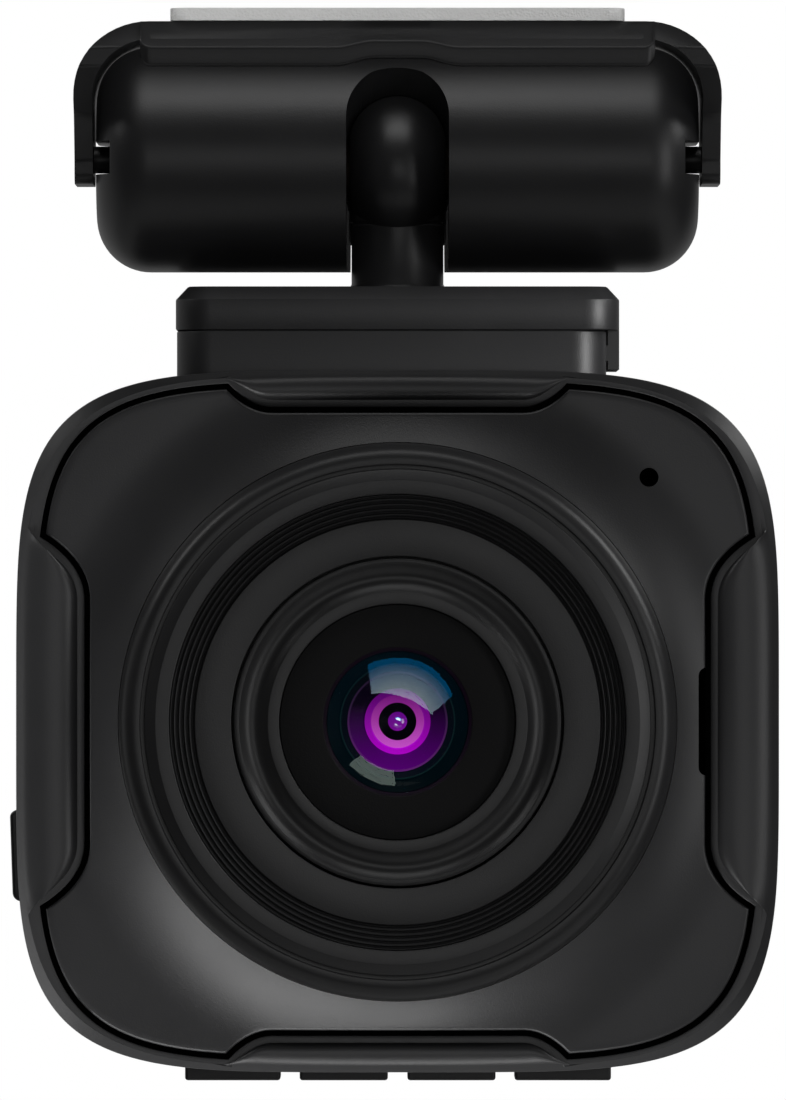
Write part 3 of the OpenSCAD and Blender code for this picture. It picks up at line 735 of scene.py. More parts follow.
def painted_gap_shade():
    """A black strip low in the gap between the cover and the frame, painting the gap's shade."""
    sunk = 0.24
    half = GAP_HALF - 0.005
    heights = [flare(point) - sunk for point in gap(-GAP_HALF - EDGE_ROUND)]
    loops = [level(gap(-half), FLOOR)]
    for offset in (-half, half):
        loops.append([seen(p.x, p.y, h) for p, h in zip(gap(offset), heights)])
    loops.append(level(gap(half), FLOOR))
    piece = loft("painted_shade_gap", loops, closed=True)
    smooth(piece)
    return place(piece, "camera", "seal_rubber", look=PAINTED_SHADE)


painted_gap_shade()

# %% [markdown]
# ## Frame with finger grips
#
# The frame is the ring that holds the two halves of the body. From outside in it has a side wall, a chamfer
# that is narrow at the sides and wide at the corners, a flat band 0.6 mm wide along the gap, and the
# pocket that the cover drops into. Where the gap line dips inwards, the room between band and chamfer is
# filled by a low pillow that a finger can feel.
#
# The pillow comes from one formula. Its height follows how much room there is in that direction, so it
# fades to nothing at the corners by itself.

# %% Frame
BAND = 0.62
RIM_POWER = 4.32


def ease(value):
    value = min(1.0, max(0.0, value))
    return value * value * (3 - 2 * value)


def pillow_loops(inner, outer, steps=16):
    loops = []
    for k in range(1, steps):
        t = k / steps
        u = t ** 0.85
        dome = (1 - abs(2 * u - 1) ** 2.2) ** 0.75
        loop = []
        for a, b in zip(inner, outer):
            room = (b - a).length
            point = a.lerp(b, t)
            rise = 0.88 * ease((room - 0.75) / 2.3) * dome
            loop.append(seen(point.x, point.y, RIM + rise))
        loops.append(loop)
    return loops


def band_edge(limit):
    """The outer edge of the flat band, kept inside the chamfer."""
    points = []
    for a, b in zip(gap(GAP_HALF + BAND), limit):
        points.append(a if a.length < b.length - 0.02 else b * ((b.length - 0.02) / b.length))
    return points


def chamfer(rim, fall, share):
    """A loop on the chamfer. It lies below the rim by a multiple of the chamfer's own width."""
    loop = []
    for a, b in zip(outline(0.0), rim):
        point = a.lerp(b, share)
        loop.append(seen(point.x, point.y, RIM - fall * (a - b).length))
    return loop


def frame_ring():
    rim = outline(0.42, RIM_POWER)
    rim = [min(a, b, key=lambda p: p.length) for a, b in zip(rim, outline(0.30))]
    band = band_edge(rim)
    loops = [
        level(outline(0.18), SEAM),
        level(outline(0.03), SEAM + 0.10),
        level(outline(0.0), SEAM + 0.22),
        chamfer(rim, 1.12, 0.0),
        chamfer(rim, 0.94, 0.05),
        chamfer(rim, 0.06, 0.95),
        level(rim, RIM),
    ]
    loops += reversed(pillow_loops(band, rim))
    loops += [
        level(band, RIM),
        level(gap(GAP_HALF + 0.10), RIM),
        level(gap(GAP_HALF + 0.03), RIM - 0.03),
        level(gap(GAP_HALF), RIM - 0.10),
        level(gap(GAP_HALF), FLOOR),
        level(round_loop(11.2), FLOOR),
        level(round_loop(11.2), FLOOR - 1),
        level(outline(3.0), FLOOR - 1),
        level(outline(3.0), SEAM),
    ]
    return loft("frame_ring", loops, closed=True)


ring = frame_ring()
cut(ring, slug("mic_room", circle(2.3, 48, MICROPHONE), 9, 12))
smooth(ring, 24)
place(ring, "camera", "frame_plastic", "front_frame")

# %% [markdown]
# ## Rear housing
#
# The back half is a deep tray with a 4 mm radius round its back edge. Two lofts make it, an outside and an
# inside, and a boolean takes one from the other. The openings are booleans too, in the order in which a
# toolmaker would think of them: display window, button holes, sockets, speaker, screws.

# %% Housing
def tray(name, inset, back, front, radius):
    loops = []
    for i in range(9):
        turn = math.radians(90 * i / 8)
        pull = inset + radius * (1 - math.sin(turn))
        height = back + radius * (1 - math.cos(turn))
        loops.append(level(outline(pull), height))
    loops.append(level(outline(inset), front - 0.2))
    loops.append(level(outline(inset + (0.18 if inset == 0 else 0)), front))
    return loft(name, loops)


def brick(name, low, high, radius=0.2):
    """A block with rounded corners as seen from the front."""
    return slug(name, rounded(rectangle(low[0], low[1], high[0], high[1]), radius), low[2], high[2])


BUTTONS = [(-13.95, 8.09), (-4.55, 7.47), (4.57, 7.47), (14.0, 8.17)]
SCREWS = [(x, y) for x in (-25.2, 25.2) for y in (-17, 17)]


def housing_openings():
    cutters = [
        brick("window_recess", (-22.1, -17.6, BACK - 1), (22.1, 17.6, BACK + 1), 2.0),
        brick("view_hole", (-20.5, -15.5, BACK - 1), (20.5, 15.5, BACK + 3), 1.0),
        brick("side_hole", (-34, -15.55, -1.4), (-27, -7.55, 2.9)),
        brick("card_hole", (27, -13.2, -2.8), (34, -1.8, -1.4)),
        brick("inlet_hole", (27, 3.45, -3.5), (34, 12.55, -0.1)),
    ]
    for x, width in BUTTONS:
        half = width / 2 + 0.15
        cutters.append(brick("button_hole", (x - half, -32, -1.65), (x + half, -24, 3.15)))
    for i in range(-3, 4):
        low = (2 * i - 0.4, -22.6, BACK - 1)
        high = (2 * i + 0.4, -19.6, BACK + 3)
        cutters.append(brick("speaker_slot", low, high, 0.38))
    for x, y in SCREWS:
        cutters.append(slug("screw_well", circle(1.7, 48, (x, y)), BACK - 1, BACK + 1.4))
    return cutters


shell = tray("housing_shell", 0, BACK, SEAM, 4.0)
cut(shell, tray("hollow", 1.8, BACK + 1.8, SEAM + 1, 2.2), *housing_openings())
soften(shell, 0.00007, 36, 2)
place(shell, "camera", "housing_plastic", "rear_housing")

# %% [markdown]
# ## The rings round the lens
#
# Four rings sit inside each other, as on a real lens: a bezel that stands proud, a ring with five fine
# steps, a ring with a round dish in it, and a flat black disc that holds the glass. They are turned parts, so
# each is a profile of (radius, height) spun about the lens axis. A profile costs nothing to draw with real
# edge rounds, and those rounds are what turn into the thin bright circles.

# %% Bezel
def ring_piece(name, node, profile, radii, slot_name):
    piece = turned(name, rounded(profile, radii, 4), seen, 224)
    smooth(piece, 34)
    return place(piece, "camera", slot_name, node)


CREST = CROWN - 0.4
shoulder = [tuple(p) for p in bend((23.33, CROWN - 2.8), (23.33, CREST - 0.2), (22.0, CREST), 10)]
profile = [(19.04, FLOOR), (23.33, FLOOR)] + shoulder + [
    (21.5, CREST),
    (21.5, CREST - 0.4),
    (21.1, CREST - 0.4),
    (21.1, CREST + 0.02),
    (20.2, CROWN),
    (19.04, CROWN),
]
radii = [0, 0] + [0] * 11 + [0.06, 0.05, 0.05, 0.08, 0.12, 0.10]
ring_piece("bezel_ring", "lens_bezel", profile, radii, "ring_plastic")


# %% Ring with fine steps
def step_profile():
    top = CROWN - 0.2
    drop = 1.4
    pitch = (19.04 - 16.92) / 5
    profile = [(13.88, FLOOR), (18.99, FLOOR), (18.99, top)]
    radii = [0, 0, 0.06]
    for i in range(1, 6):
        land = top - drop * i / 5
        profile.append((19.04 - pitch * (i - 0.42), land + drop / 5 - 0.85))
        profile.append((19.04 - pitch * i, land))
        radii += [0.04, 0.06]
    profile.append((13.88, top - drop))
    radii.append(0.08)
    return profile, radii


profile, radii = step_profile()
ring_piece("stepped_ring", "ridged_ring", profile, radii, "ring_plastic")

# %% Dished ring and black disc
DISH_TOP = CROWN - 1.6
DISH_EDGE = DISH_TOP - 0.02
DISH_DEEP = DISH_TOP - 1.35
dish = [tuple(p) for p in bend((13.25, DISH_EDGE), (12.1, DISH_DEEP), (10.85, DISH_EDGE), 28)]
profile = [(9.88, FLOOR), (13.65, FLOOR), (13.65, DISH_EDGE), (13.40, DISH_TOP)] + dish + [(9.88, DISH_TOP)]
radii = [0, 0, 0.07, 0.05] + [0.10] + [0] * 27 + [0.12, 0.08]
ring_piece("dish_ring", "dished_ring", profile, radii, "ring_plastic")

DISC_TOP = CROWN - 2.4
profile = [(5.95, 13), (9.83, 13), (9.83, DISC_TOP), (6.25, DISC_TOP - 0.02), (5.95, DISC_TOP - 0.45)]
ring_piece("black_disc", "lens_retainer", profile, [0, 0, 0.06, 0.12, 0.05], "disc_plastic")

# %% [markdown]
# ## The lens itself
#
# Behind the front glass is a stack of smaller parts: a dark baffle that steps inwards, glass surfaces with
# a painted purple and pink reflection and a painted glow, and the last small element in the middle. On the
# real lens those colours are reflections from anti-reflection coatings. They are painted strongest at the
# bottom and fading to black at the top, as the light falls.
#
# Each surface is its own turned ring, lower than the one before. Its material is a painted reflection: a
# colour that runs along Z by a ramp, and a little of it is emitted as a painted glow, though the rings are no
# lamps.
# The middle element is a tiny dome with a hard clear coat, so the lights and sheets round it show in it as
# small white glints; under the coat its purple is painted reflection and painted glow as well.

# %% Painted lens reflections
def painted_reflection(name, stops, glow, rough=0.3):
    # Paints reflected light: the colour changes along Z by the ramp, and the emission is a painted glow.
    recipe = Recipe(name)
    split = recipe.node("SeparateXYZ", {}, {0: recipe.places()}, 2)
    along = (split - (LENS_Z - 5.9 * MM)) / (11.8 * MM)
    tint = recipe.node("ValToRGB", {"stops": stops}, {0: along})
    soft = recipe.noise(0.0015)
    return recipe.finish(
        Base_Color=recipe.blend(soft, tint, recipe.node("Gamma", {}, {0: tint, 1: 1.1})),
        Emission_Color=tint,
        Emission_Strength=glow,
        Roughness=recipe.between(soft, rough * 0.8, rough * 1.2),
        Specular_IOR_Level=0.05,
    )


# Painted reflection colours along Z, from bottom to top; most are brightest at the bottom.
TEAL = [(0.0, (0.000, 0.003, 0.004)), (1.0, (0.000, 0.004, 0.007))]
LIP = [(0.0, (0.003, 0.016, 0.017)), (1.0, (0.002, 0.010, 0.013))]
DEEP = [(0.0, (0.002, 0.004, 0.009)), (1.0, (0.001, 0.002, 0.003))]
EDGE = [(0.0, (0.180, 0.020, 0.260)), (0.6, (0.030, 0.012, 0.045)), (1.0, (0.010, 0.006, 0.016))]
PURPLE = [
    (0.12, (0.115, 0.000, 0.215)),
    (0.42, (0.040, 0.000, 0.075)),
    (0.62, (0.003, 0.000, 0.006)),
    (1.0, (0.001, 0.000, 0.002)),
]
MAGENTA = [(0.26, (0.520, 0.000, 0.700)), (0.50, (0.260, 0.003, 0.360)), (0.74, (0.070, 0.001, 0.110))]
PINK = [(0.30, (0.720, 0.110, 0.740)), (0.52, (0.400, 0.040, 0.400)), (0.70, (0.170, 0.006, 0.200))]
WELL = [(0.0, (0.002, 0.000, 0.003)), (1.0, (0.001, 0.000, 0.001))]
PUPIL = [(0.40, (0.300, 0.006, 0.420)), (0.60, (0.170, 0.002, 0.260))]

# Each row: name, outer and inner radius, outer and inner height, painted reflection colours from bottom to
# top, painted glow
LENS_STACK = [
    ("baffle", (5.90, 4.84), 14.9, 14.3, TEAL, 0.8),
    ("baffle_lip", (4.84, 4.72), 14.5, 14.5, LIP, 0.8),
    ("baffle_inner", (4.72, 4.20), 14.3, 13.9, DEEP, 0.8),
    ("outer_edge", (4.20, 4.04), 14.0, 14.0, EDGE, 0.8),
    ("outer_coating", (4.04, 2.76), 13.9, 13.4, PURPLE, 0.8),
    ("middle_coating", (2.76, 2.22), 13.6, 13.3, MAGENTA, 0.9),
    ("inner_coating", (2.22, 1.58), 13.4, 13.2, PINK, 0.9),
    ("pupil_well", (1.58, 0.80), 13.25, 12.9, WELL, 0.5),
]


def lens_ring(name, radii, outer_height, inner_height, stops, glow):
    outer, inner = radii
    profile = [
        (outer, outer_height - 0.5),
        (outer, outer_height),
        (inner, inner_height),
        (inner, inner_height - 0.5),
    ]
    piece = turned("lens_" + name, profile, seen, 128)
    smooth(piece, 40)
    # The ring's colour is a painted reflection, and its emission is a painted glow.
    look = painted_reflection("coating_" + name, stops, glow)
    return place(piece, "camera", "filter_glass", look=look)


for name, radii, outer_height, inner_height, stops, glow in LENS_STACK:
    lens_ring(name, radii, outer_height, inner_height, stops, glow)


# %% Middle glint and front glass
def dome(name, radius, ball, crown, foot, steps=24):
    """A cap of a ball with a rim, as a closed turned solid."""
    profile = [(0.0, foot), (radius, foot)]
    for i in range(steps + 1):
        r = radius * (1 - i / steps)
        profile.append((r, crown - ball + math.sqrt(ball * ball - r * r)))
    piece = turned(name, profile, seen, 160)
    return smooth(piece, 40)


pupil = dome("lens_pupil", 0.80, 1.15, 13.3, 12.8)
# Painted reflection and painted glow, under a real clear coat.
look = painted_reflection("coating_pupil", PUPIL, 0.7, 0.3)
pupil_shader = look.node_tree.nodes["Principled BSDF"]
pupil_shader.inputs["Coat Weight"].default_value = 1.0
pupil_shader.inputs["Coat Roughness"].default_value = 0.03
pupil_shader.inputs["Coat IOR"].default_value = 3.2
place(pupil, "camera", "filter_glass", look=look)

front_glass = dome("front_glass", 5.9, 17.9, CROWN - 2.8, 15.5, 40)
place(front_glass, "camera", "coated_glass", "front_lens")

profile = [(5.95, 11.0), (9.8, 11.0), (9.8, 12.98), (5.92, 12.98), (5.92, 15.2), (5.90, 15.2), (5.90, 11.0)]
sleeve = turned("lens_sleeve", rounded(profile, 0), seen, 160)
look = plastic("sleeve_black", (0.002, 0.002, 0.003), 0.6, 0.3, specular=0.2)
place(sleeve, "camera", "disc_plastic", look=look)

# %% [markdown]
# ## Adhesive pad and bracket
#
# The mount starts with a pad of pale foam, cut by a die, so its sides are straight and its corners round.
# Under it is the bracket: one strip bent over the barrel at both ends, with a hooked lip along the front
# and the back. The strip is made as it would be drawn, in two views: one from the front, and one from the
# side. What the two prisms have in common is the strip. Each lip is a row of profiles from one end to the
# other, and its lower edge rises in an arch where the barrel's knuckle would rub.

# %% Pad
pad_shape = rounded(rectangle(-19.1, -11.5, 19.1, 11.5), 1.5, 8)


def in_plan(points, height):
    return [(x * MM, y * MM, height * MM) for x, y in points]


pad = loft("foam_pad", [in_plan(pad_shape, 0), in_plan(pad_shape, -1.1)])
soften(pad, 0.00008, 32, 2)
place(pad, "mount", "adhesive_foam", "adhesive_pad")


# %% Bracket
PLATE_TOP = -1.1
PLATE = 1.55
ARM_END = -14.6


def strip():
    half = 27.3
    bend_round = 6.7
    inside = half - PLATE
    roof = PLATE_TOP - PLATE
    outer = [(half, ARM_END), (half, PLATE_TOP), (-half, PLATE_TOP), (-half, ARM_END)]
    inner = [(-inside, ARM_END), (-inside, roof), (inside, roof), (inside, ARM_END)]
    outer = rounded(outer, [0, bend_round, bend_round, 0], 14)
    inner = rounded(inner, [0, bend_round - PLATE, bend_round - PLATE, 0], 14)
    shape = [(x * MM, z * MM) for x, z in outer + inner]
    return prism("bracket_strip", shape, "Y", -0.014, 0.014)


def side_view():
    half = [(10.8, PLATE_TOP), (13, -3.4), (13, -5), (7, -9), (5, ARM_END + 2), (5, ARM_END)]
    radii = [0.3, 0.5, 0.4, 3.0, 1.0, 2.0]
    other = [(-y, z) for y, z in reversed(half)]
    shape = rounded(half + other, radii + radii[::-1], 6)
    return prism("side", [(y * MM, z * MM) for y, z in shape], "X", -0.03, 0.03)


LIP_END = 21.6


def lip_rise(x):
    """How far the lip's lower edge is lifted at x: an arch in the middle, and a round at each end."""
    arch_height = 0.66 * ease((5.2 - abs(x)) / 3.2)
    corner = max(0.0, abs(x) - (LIP_END - 1.0))
    return arch_height + 1.0 - math.sqrt(max(0.0, 1.0 - corner * corner))


def lip(sign):
    """The hooked lip as a row of profiles from one end to the other."""
    ends = [LIP_END - 1.0 + math.sin(math.radians(a)) for a in range(0, 91, 15)]
    middle = [x * 0.4 for x in range(0, 51)]
    places_x = sorted(set([-x for x in middle + ends] + middle + ends))
    loops = []
    for x in places_x:
        up = lip_rise(x)
        back = 0.25 * ease((abs(x) - LIP_END + 0.6) / 0.6)
        points = [
            (13 - back, -5 + up),
            (11.4, -5 + up),
            (10.0, PLATE_TOP - PLATE),
            (10.0, PLATE_TOP - 0.02),
            (10.8, PLATE_TOP - 0.02),
            (13 - back, -3.4 + 0.85 * min(up, 0.8)),
        ]
        shape = rounded(points, [0.30, 0.20, 0, 0, 0.3, 0.45], 4)
        loops.append([(x * MM, sign * y * MM, z * MM) for y, z in shape])
    return loft("lip", loops)


def plate_room(sign):
    """Clears the plate's own edge under a lip, so that only the lip's edge shows."""
    low, high = sorted((sign * 0.0113, sign * 0.015))
    return prism("room", rectangle(-LIP_END * MM, -0.0065, LIP_END * MM, -0.0028), "Y", low, high)


bracket = common(strip(), side_view())
cut(bracket, plate_room(-1), plate_room(1))
soften(bracket, 0.00022, 34, 3)
join(bracket, lip(-1), lip(1))
smooth(bracket, 34)
place(bracket, "mount", "bracket_plastic", "bracket")


def pin_sleeves():
    made = []
    for side in (-1, 1):
        profile = [(0.72, side * 24.35), (1.15, side * 24.35), (1.15, side * 25.9), (0.72, side * 25.9)]
        made.append(turned("sleeve", rounded(profile, [0, 0.1, 0.1, 0], 3), about_pins, 48))
    return made

# %% [markdown]
# ## Barrel
#
# The barrel turns in the bracket's arms. It is moulded as two halves that meet in the plane of the pins, and
# both halves come from one turned shape: a cylinder with a large round at each end. The knuckle's room is
# cut out of it with the knuckle's own wheel, made 0.23 mm larger, plus an arched cove that sinks towards
# the knuckle. The mouth's edge gets a soft round, and that round draws the bright arch seen from the front.

# %% Barrel tools
PIN_Z = -12.43
KNUCKLE_Z = -13.3


def about_pins(across, up, along):
    return (along * MM, across * MM, (PIN_Z + up) * MM)


def about_knuckle(across, up, along):
    return (along * MM, across * MM, (KNUCKLE_Z + up) * MM)


def capsule_wheel(name, radius, half_width):
    """A wheel whose tread is a full half circle."""
    core = 6.3 - 4.1
    profile = [(0.0, -half_width), (core, -half_width)]
    for i in range(1, 24):
        turn = math.radians(-90 + 180 * i / 24)
        profile.append((core + (radius - core) * math.cos(turn), half_width * math.sin(turn)))
    profile += [(core, half_width), (0.0, half_width)]
    return turned(name, profile, about_knuckle, 128)


def arched_cove():
    """The arched mouth. It narrows and sinks towards the knuckle, so its roof is seen from the front."""
    angles = range(0, 181, 5)
    loops = []
    rows = ((-12, 4.36, -8.95), (-6.2, 4.33, -8.95), (-3.8, 4.30, -9.9), (-1.0, 4.28, -11.6))
    for depth, radius, centre in rows:
        arc = [(radius * math.cos(math.radians(a)), radius * math.sin(math.radians(a))) for a in angles]
        shape = arc + [(-radius, -20 - centre), (radius, -20 - centre)]
        loops.append([(x * MM, depth * MM, (centre + up) * MM) for x, up in shape])
    return loft("mouth", loops)


def swing_room(degrees, half_width=4.31, low=-16, high=0.3):
    """The room that the knuckle's lower end sweeps, at one angle."""
    a = math.radians(degrees)
    loops = []
    for x in (-half_width, half_width):
        loop = []
        for y, z in ((-4.3, low), (4.3, low), (4.3, high), (-4.3, high)):
            loop.append((
                x * MM,
                (y * math.cos(a) - z * math.sin(a)) * MM,
                (KNUCKLE_Z + y * math.sin(a) + z * math.cos(a)) * MM,
            ))
        loops.append(loop)
    return loft("swing", loops)


def slab(name, low, high):
    low = [v * MM for v in low]
    high = [v * MM for v in high]
    return prism(name, rectangle(low[0], low[1], high[0], high[1]), "Z", low[2], high[2])


# %% Barrel halves
def barrel_half(name, front):
    ends = [(0, -25.5), (9.55, -25.5), (9.55, 25.5), (0, 25.5)]
    half = turned(name, rounded(ends, [0, 5.4, 5.4, 0], 16), about_pins, 192)
    cut(half, capsule_wheel("room", 6.53, 4.35), arched_cove())
    for degrees in (-42, -12, 17):
        if front:
            cut(half, swing_room(degrees))
        else:
            past_sleeve = swing_room(degrees, 4.13, -4.9, 0.3)
            past_stem = swing_room(degrees, 3.98, -16, -4.7)
            cut(half, past_sleeve, past_stem)
    for side in (-1, 1):
        x0, x1 = sorted((side * (25.5 - 1.25), side * 27))
        cut(half, slab("end_notch", (x0, -10, PIN_Z - 1.4), (x1, 10, PIN_Z + 1.4)))
    low, high = (-12, -0.015) if front else (0.015, 12)
    common(half, slab("half", (-30, low, -30), (30, high, 5)))
    if not front:
        for side in (-1, 1):
            shape = circle(2.0 * MM, 48, (side * 13 * MM, PIN_Z * MM))
            cut(half, prism("counterbore", shape, "Y", 0.0072, 0.012))
    return soften(half, 0.00016, 36, 3)


sleeves = pin_sleeves()
barrel_front = place(barrel_half("barrel_shell_front", True), "barrel", "barrel_plastic", "barrel_front")
barrel_rear = place(barrel_half("barrel_shell_rear", False), "barrel", "barrel_plastic", "barrel_rear")

# %% [markdown]
# ## Knuckle and stem
#
# The knuckle is a wheel with a full round tread, so from the front it looks like a domed cap. A sleeve takes
# it down to the stem, with a fine step where the two mouldings meet. The stem ends on the shoe, in which it
# swivels.

# %% Knuckle
def about_stem(across, up, height):
    return (across * MM, up * MM, height * MM)


def knuckle():
    wheel = capsule_wheel("knuckle", 6.3, 4.1)
    sleeve = [(0, -13.3), (4.06, -13.3), (4.06, -17.78), (0, -17.78)]
    stem = [(0, -17.7), (3.82, -17.7), (3.82, -17.95), (3.9, -18.05), (3.9, -23.0), (4.05, -23.3), (0, -23.3)]
    join(wheel, turned("sleeve", rounded(sleeve, [0, 0, 0.12, 0]), about_stem, 128))
    join(wheel, turned("stem", stem, about_stem, 128))
    spigot = [(0, -26.2), (3.0, -26.2), (3.0, -23.2), (0, -23.2)]
    join(wheel, turned("spigot", spigot, about_stem, 96))
    return smooth(wheel, 30)


knuckle_stem = place(knuckle(), "stem", "barrel_plastic", "knuckle_stem")

# %% [markdown]
# ## Shoe and dock
#
# The shoe is the block on the stem, and the dock is its other half on the camera. They meet in a seam and
# hold each other by a T-shaped rail, so the camera slides off sideways. Both are stacks of one rounded
# rectangle, a little smaller wherever an edge is broken: a chamfer round the shoe's top, and two hairline
# rounds at the seam.

# %% Shoe
def stack(name, low, high, radius, steps):
    """Loops of one rounded rectangle. Each step is (inset, height)."""
    loops = []
    for inset, height in steps:
        shape = rectangle(low[0] + inset, low[1] + inset, high[0] - inset, high[1] - inset)
        loops.append(in_plan(rounded(shape, radius - inset, 10), height))
    return loft(name, loops)


def rail_piece(name, start, end, gap_width):
    neck = 5 + gap_width
    head = 7 + gap_width
    top = -27.0
    shape = [
        (neck, top),
        (neck, -28.28 + gap_width),
        (head, -28.28 + gap_width),
        (head, -29.58 - gap_width),
    ]
    outline_points = shape + [(-y, z) for y, z in reversed(shape)]
    return prism(name, [(y * MM, z * MM) for y, z in outline_points], "X", start * MM, end * MM)


def shoe():
    steps = [
        (0.14, -27.03),
        (0.04, -26.98),
        (0.0, -26.88),
        (0.0, -24.55),
        (0.03, -24.44),
        (0.98, -23.43),
        (1.12, -23.35),
    ]
    block = stack("shoe_block", (-18.7, -10), (18.7, 10), 3.0, steps)
    join(block, rail_piece("rail", -17.4, 18.0, 0))
    join(block, slab("end_stop", (17.75, -7, -30.33), (18.7, 7, -26.9)))
    for i in range(4):
        shape = circle(0.5 * MM, 24, ((8 + 2.2 * i) * MM, 0))
        cut(block, prism("contact_hole", shape, "Z", -0.0302, -0.028))
    return smooth(block, 24)


shoe_block = place(shoe(), "shoe", "shoe_plastic", "shoe")


# %% Dock
def dock():
    steps = [(0.0, -31.03), (0.0, -27.25), (0.03, -27.15), (0.12, -27.08)]
    block = stack("dock_block", (-18.6, -10), (17.6, 10), 3.0, steps)
    cut(block, rail_piece("channel", -17.6, 19.0, 0.15))
    for i in range(4):
        x = 8 + 2.2 * i
        cut(block, slab("pad_room", (x - 0.6, -1.5, -30.2), (x + 0.6, 1.5, -29.7)))
    return smooth(block, 24)


dock_block = place(dock(), "camera", "shoe_plastic", "dock")

# %% [markdown]
# ## Buttons
#
# Four keys stick out below the body and one at its left side. They are hard plastic with a slightly smoother
# skin than the body, because fingers and polish both wear the grain away. The side key has a flange inside,
# so that it can't fall out. The outer edges are rounded by about 0.25 mm.

# %% Bottom keys
def block_piece(name, low, high, width):
    """A softened block in the camera's own frame."""
    piece = slug(name, rectangle(low[0], low[1], high[0], high[1]), low[2], high[2])
    return soften(piece, width * MM, 32, 3)


KEY_NAMES = ["button_far_left", "button_left", "button_right", "button_far_right"]
for (x, width), node in zip(BUTTONS, KEY_NAMES):
    inner = (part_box(node)[1].z - LENS_Z) / MM
    key = block_piece("key_" + node[7:], (x - width / 2, -30.55, -1.5), (x + width / 2, inner, 3.0), 0.24)
    place(key, node, "button_plastic", node)


# %% Side key
def side_key():
    points = [(-32.85, -7.7), (-32.59, -15.4), (-28.85, -15.4), (-28.85, -7.7)]
    piece = slug("key_side", rounded(points, [0.55, 0.75, 0, 0], 8), -1.25, 2.75)
    join(piece, slug("flange", rectangle(-29.65, -16.0, -28.85, -7.1), -1.85, 3.35))
    return soften(piece, 0.00028, 32, 3)


place(side_key(), "side_button", "button_plastic", "side_button")

# %% [markdown]
# ## Screws, sockets and the display window
#
# These are seen from the back and the sides. Screw heads are pan heads with a cross recess, which is two
# crossed wedges cut from a turned head. The power inlet is a folded steel shell with round ends and a thin
# tongue in it. The memory card has the raised lip by which a finger pulls it out. The display window is a
# sheet of black glass with a broken edge, set into the back.

# %% Screws
def screw(name, place_at, head_radius, head_height, shank_radius, shank_length):
    """A pan-head screw. Height 0 is the top of the head, and the shank goes down from it."""
    profile = [
        (0, 0),
        (head_radius * 0.55, 0),
        (head_radius, -head_height * 0.45),
        (head_radius, -head_height),
        (shank_radius, -head_height),
        (shank_radius, -shank_length),
        (0, -shank_length),
    ]
    body = turned(name, rounded(profile, [0, 0.2, 0.15, 0.08, 0, 0.2, 0], 4), place_at, 48)
    for long_x in (True, False):
        a, b = (head_radius * 0.6, 0.16) if long_x else (0.16, head_radius * 0.6)
        shape = rectangle(-a, -b, a, b)
        tip = rectangle(-a * 0.5, -b * 0.5, a * 0.5, b * 0.5)
        mouth = [place_at(x, y, 0.3) for x, y in shape]
        deep = [place_at(x, y, -head_height * 0.6) for x, y in tip]
        cut(body, loft("recess", [mouth, deep]))
    return smooth(body, 34)


def merge(name, items):
    """Several meshes as one piece, with no boolean, for parts that don't touch each other."""
    whole = bmesh.new()
    for item in items:
        whole.from_mesh(item.data)
        bpy.data.objects.remove(item)
    mesh = bpy.data.meshes.new(name)
    whole.to_mesh(mesh)
    whole.free()
    piece = bpy.data.objects.new(name, mesh)
    bpy.context.scene.collection.objects.link(piece)
    return smooth(piece, 34)


def body_screws():
    made = []
    for x, y in SCREWS:

        def from_back(a, b, h, x=x, y=y):
            return seen(x + a, y + b, BACK + 0.2 - h)

        made.append(screw("screw", from_back, 1.6, 1.2, 0.8, 20))
    return merge("screws_body", made)


def pivot_screws():
    made = []
    for x in (-13, 13):

        def in_barrel(a, b, h, x=x):
            return ((x + a) * MM, (8.4 + h) * MM, (PIN_Z + b) * MM)

        made.append(screw("screw", in_barrel, 1.9, 1.2, 1.0, 14))
    return merge("screws_barrel", made)


place(merge("pin_sleeves", sleeves), "mount", "bracket_plastic")
place(body_screws(), "camera", "steel", "housing_screws")
place(pivot_screws(), "barrel", "steel", "barrel_screws")


# %% Power inlet and card
def from_side(name, outline_points, start, end):
    """Pushes an outline of (up, height) from start to end across the camera."""
    return loft(name, [[seen(x, up, h) for up, h in outline_points] for x in (start, end)])


def inlet_shape(inset, ends=1.45):
    low, high = 8 - 4.45 + inset, 8 + 4.45 - inset
    return rounded(rectangle(low, -1.8 - 1.6 + inset, high, -1.8 + 1.6 - inset), ends - inset * 0.8, 8)


inlet = from_side("inlet_shell", inlet_shape(0), 24.8, 31.4)
cut(inlet, from_side("throat", inlet_shape(0.32), 25.6, 33))
soften(inlet, 0.00005, 34, 2)
place(inlet, "camera", "steel", "power_inlet")
tongue = from_side("inlet_tongue", rounded(rectangle(4.7, -2.15, 11.3, -1.45), 0.2), 25.5, 30.4)
soften(tongue, 0.00006, 34, 2)
place(tongue, "camera", "chip_plastic")

card = from_side("card_body", rounded(rectangle(-13, -2.6, -2, -1.6), 0.12), 16.4, 31.4)
nick = from_side("nick", rectangle(-11.5, -1.72, -3.5, -1.4), 30.2, 30.8)
cut(card, nick)
soften(card, 0.00006, 34, 2)
place(card, "memory_card", "card_plastic", "memory_card")

# %% Display window
def window_glass():
    loops = []
    for inset, height in ((0, BACK + 1), (0, BACK + 0.15), (0.05, BACK + 0.04), (0.15, BACK)):
        shape = rounded(rectangle(-22 + inset, -17.5 + inset, 22 - inset, 17.5 - inset), 1.9, 10)
        loops.append([seen(x, y, height) for x, y in shape])
    return smooth(loft("window_glass", loops), 24)


place(window_glass(), "camera", "window_glass", "display_window")

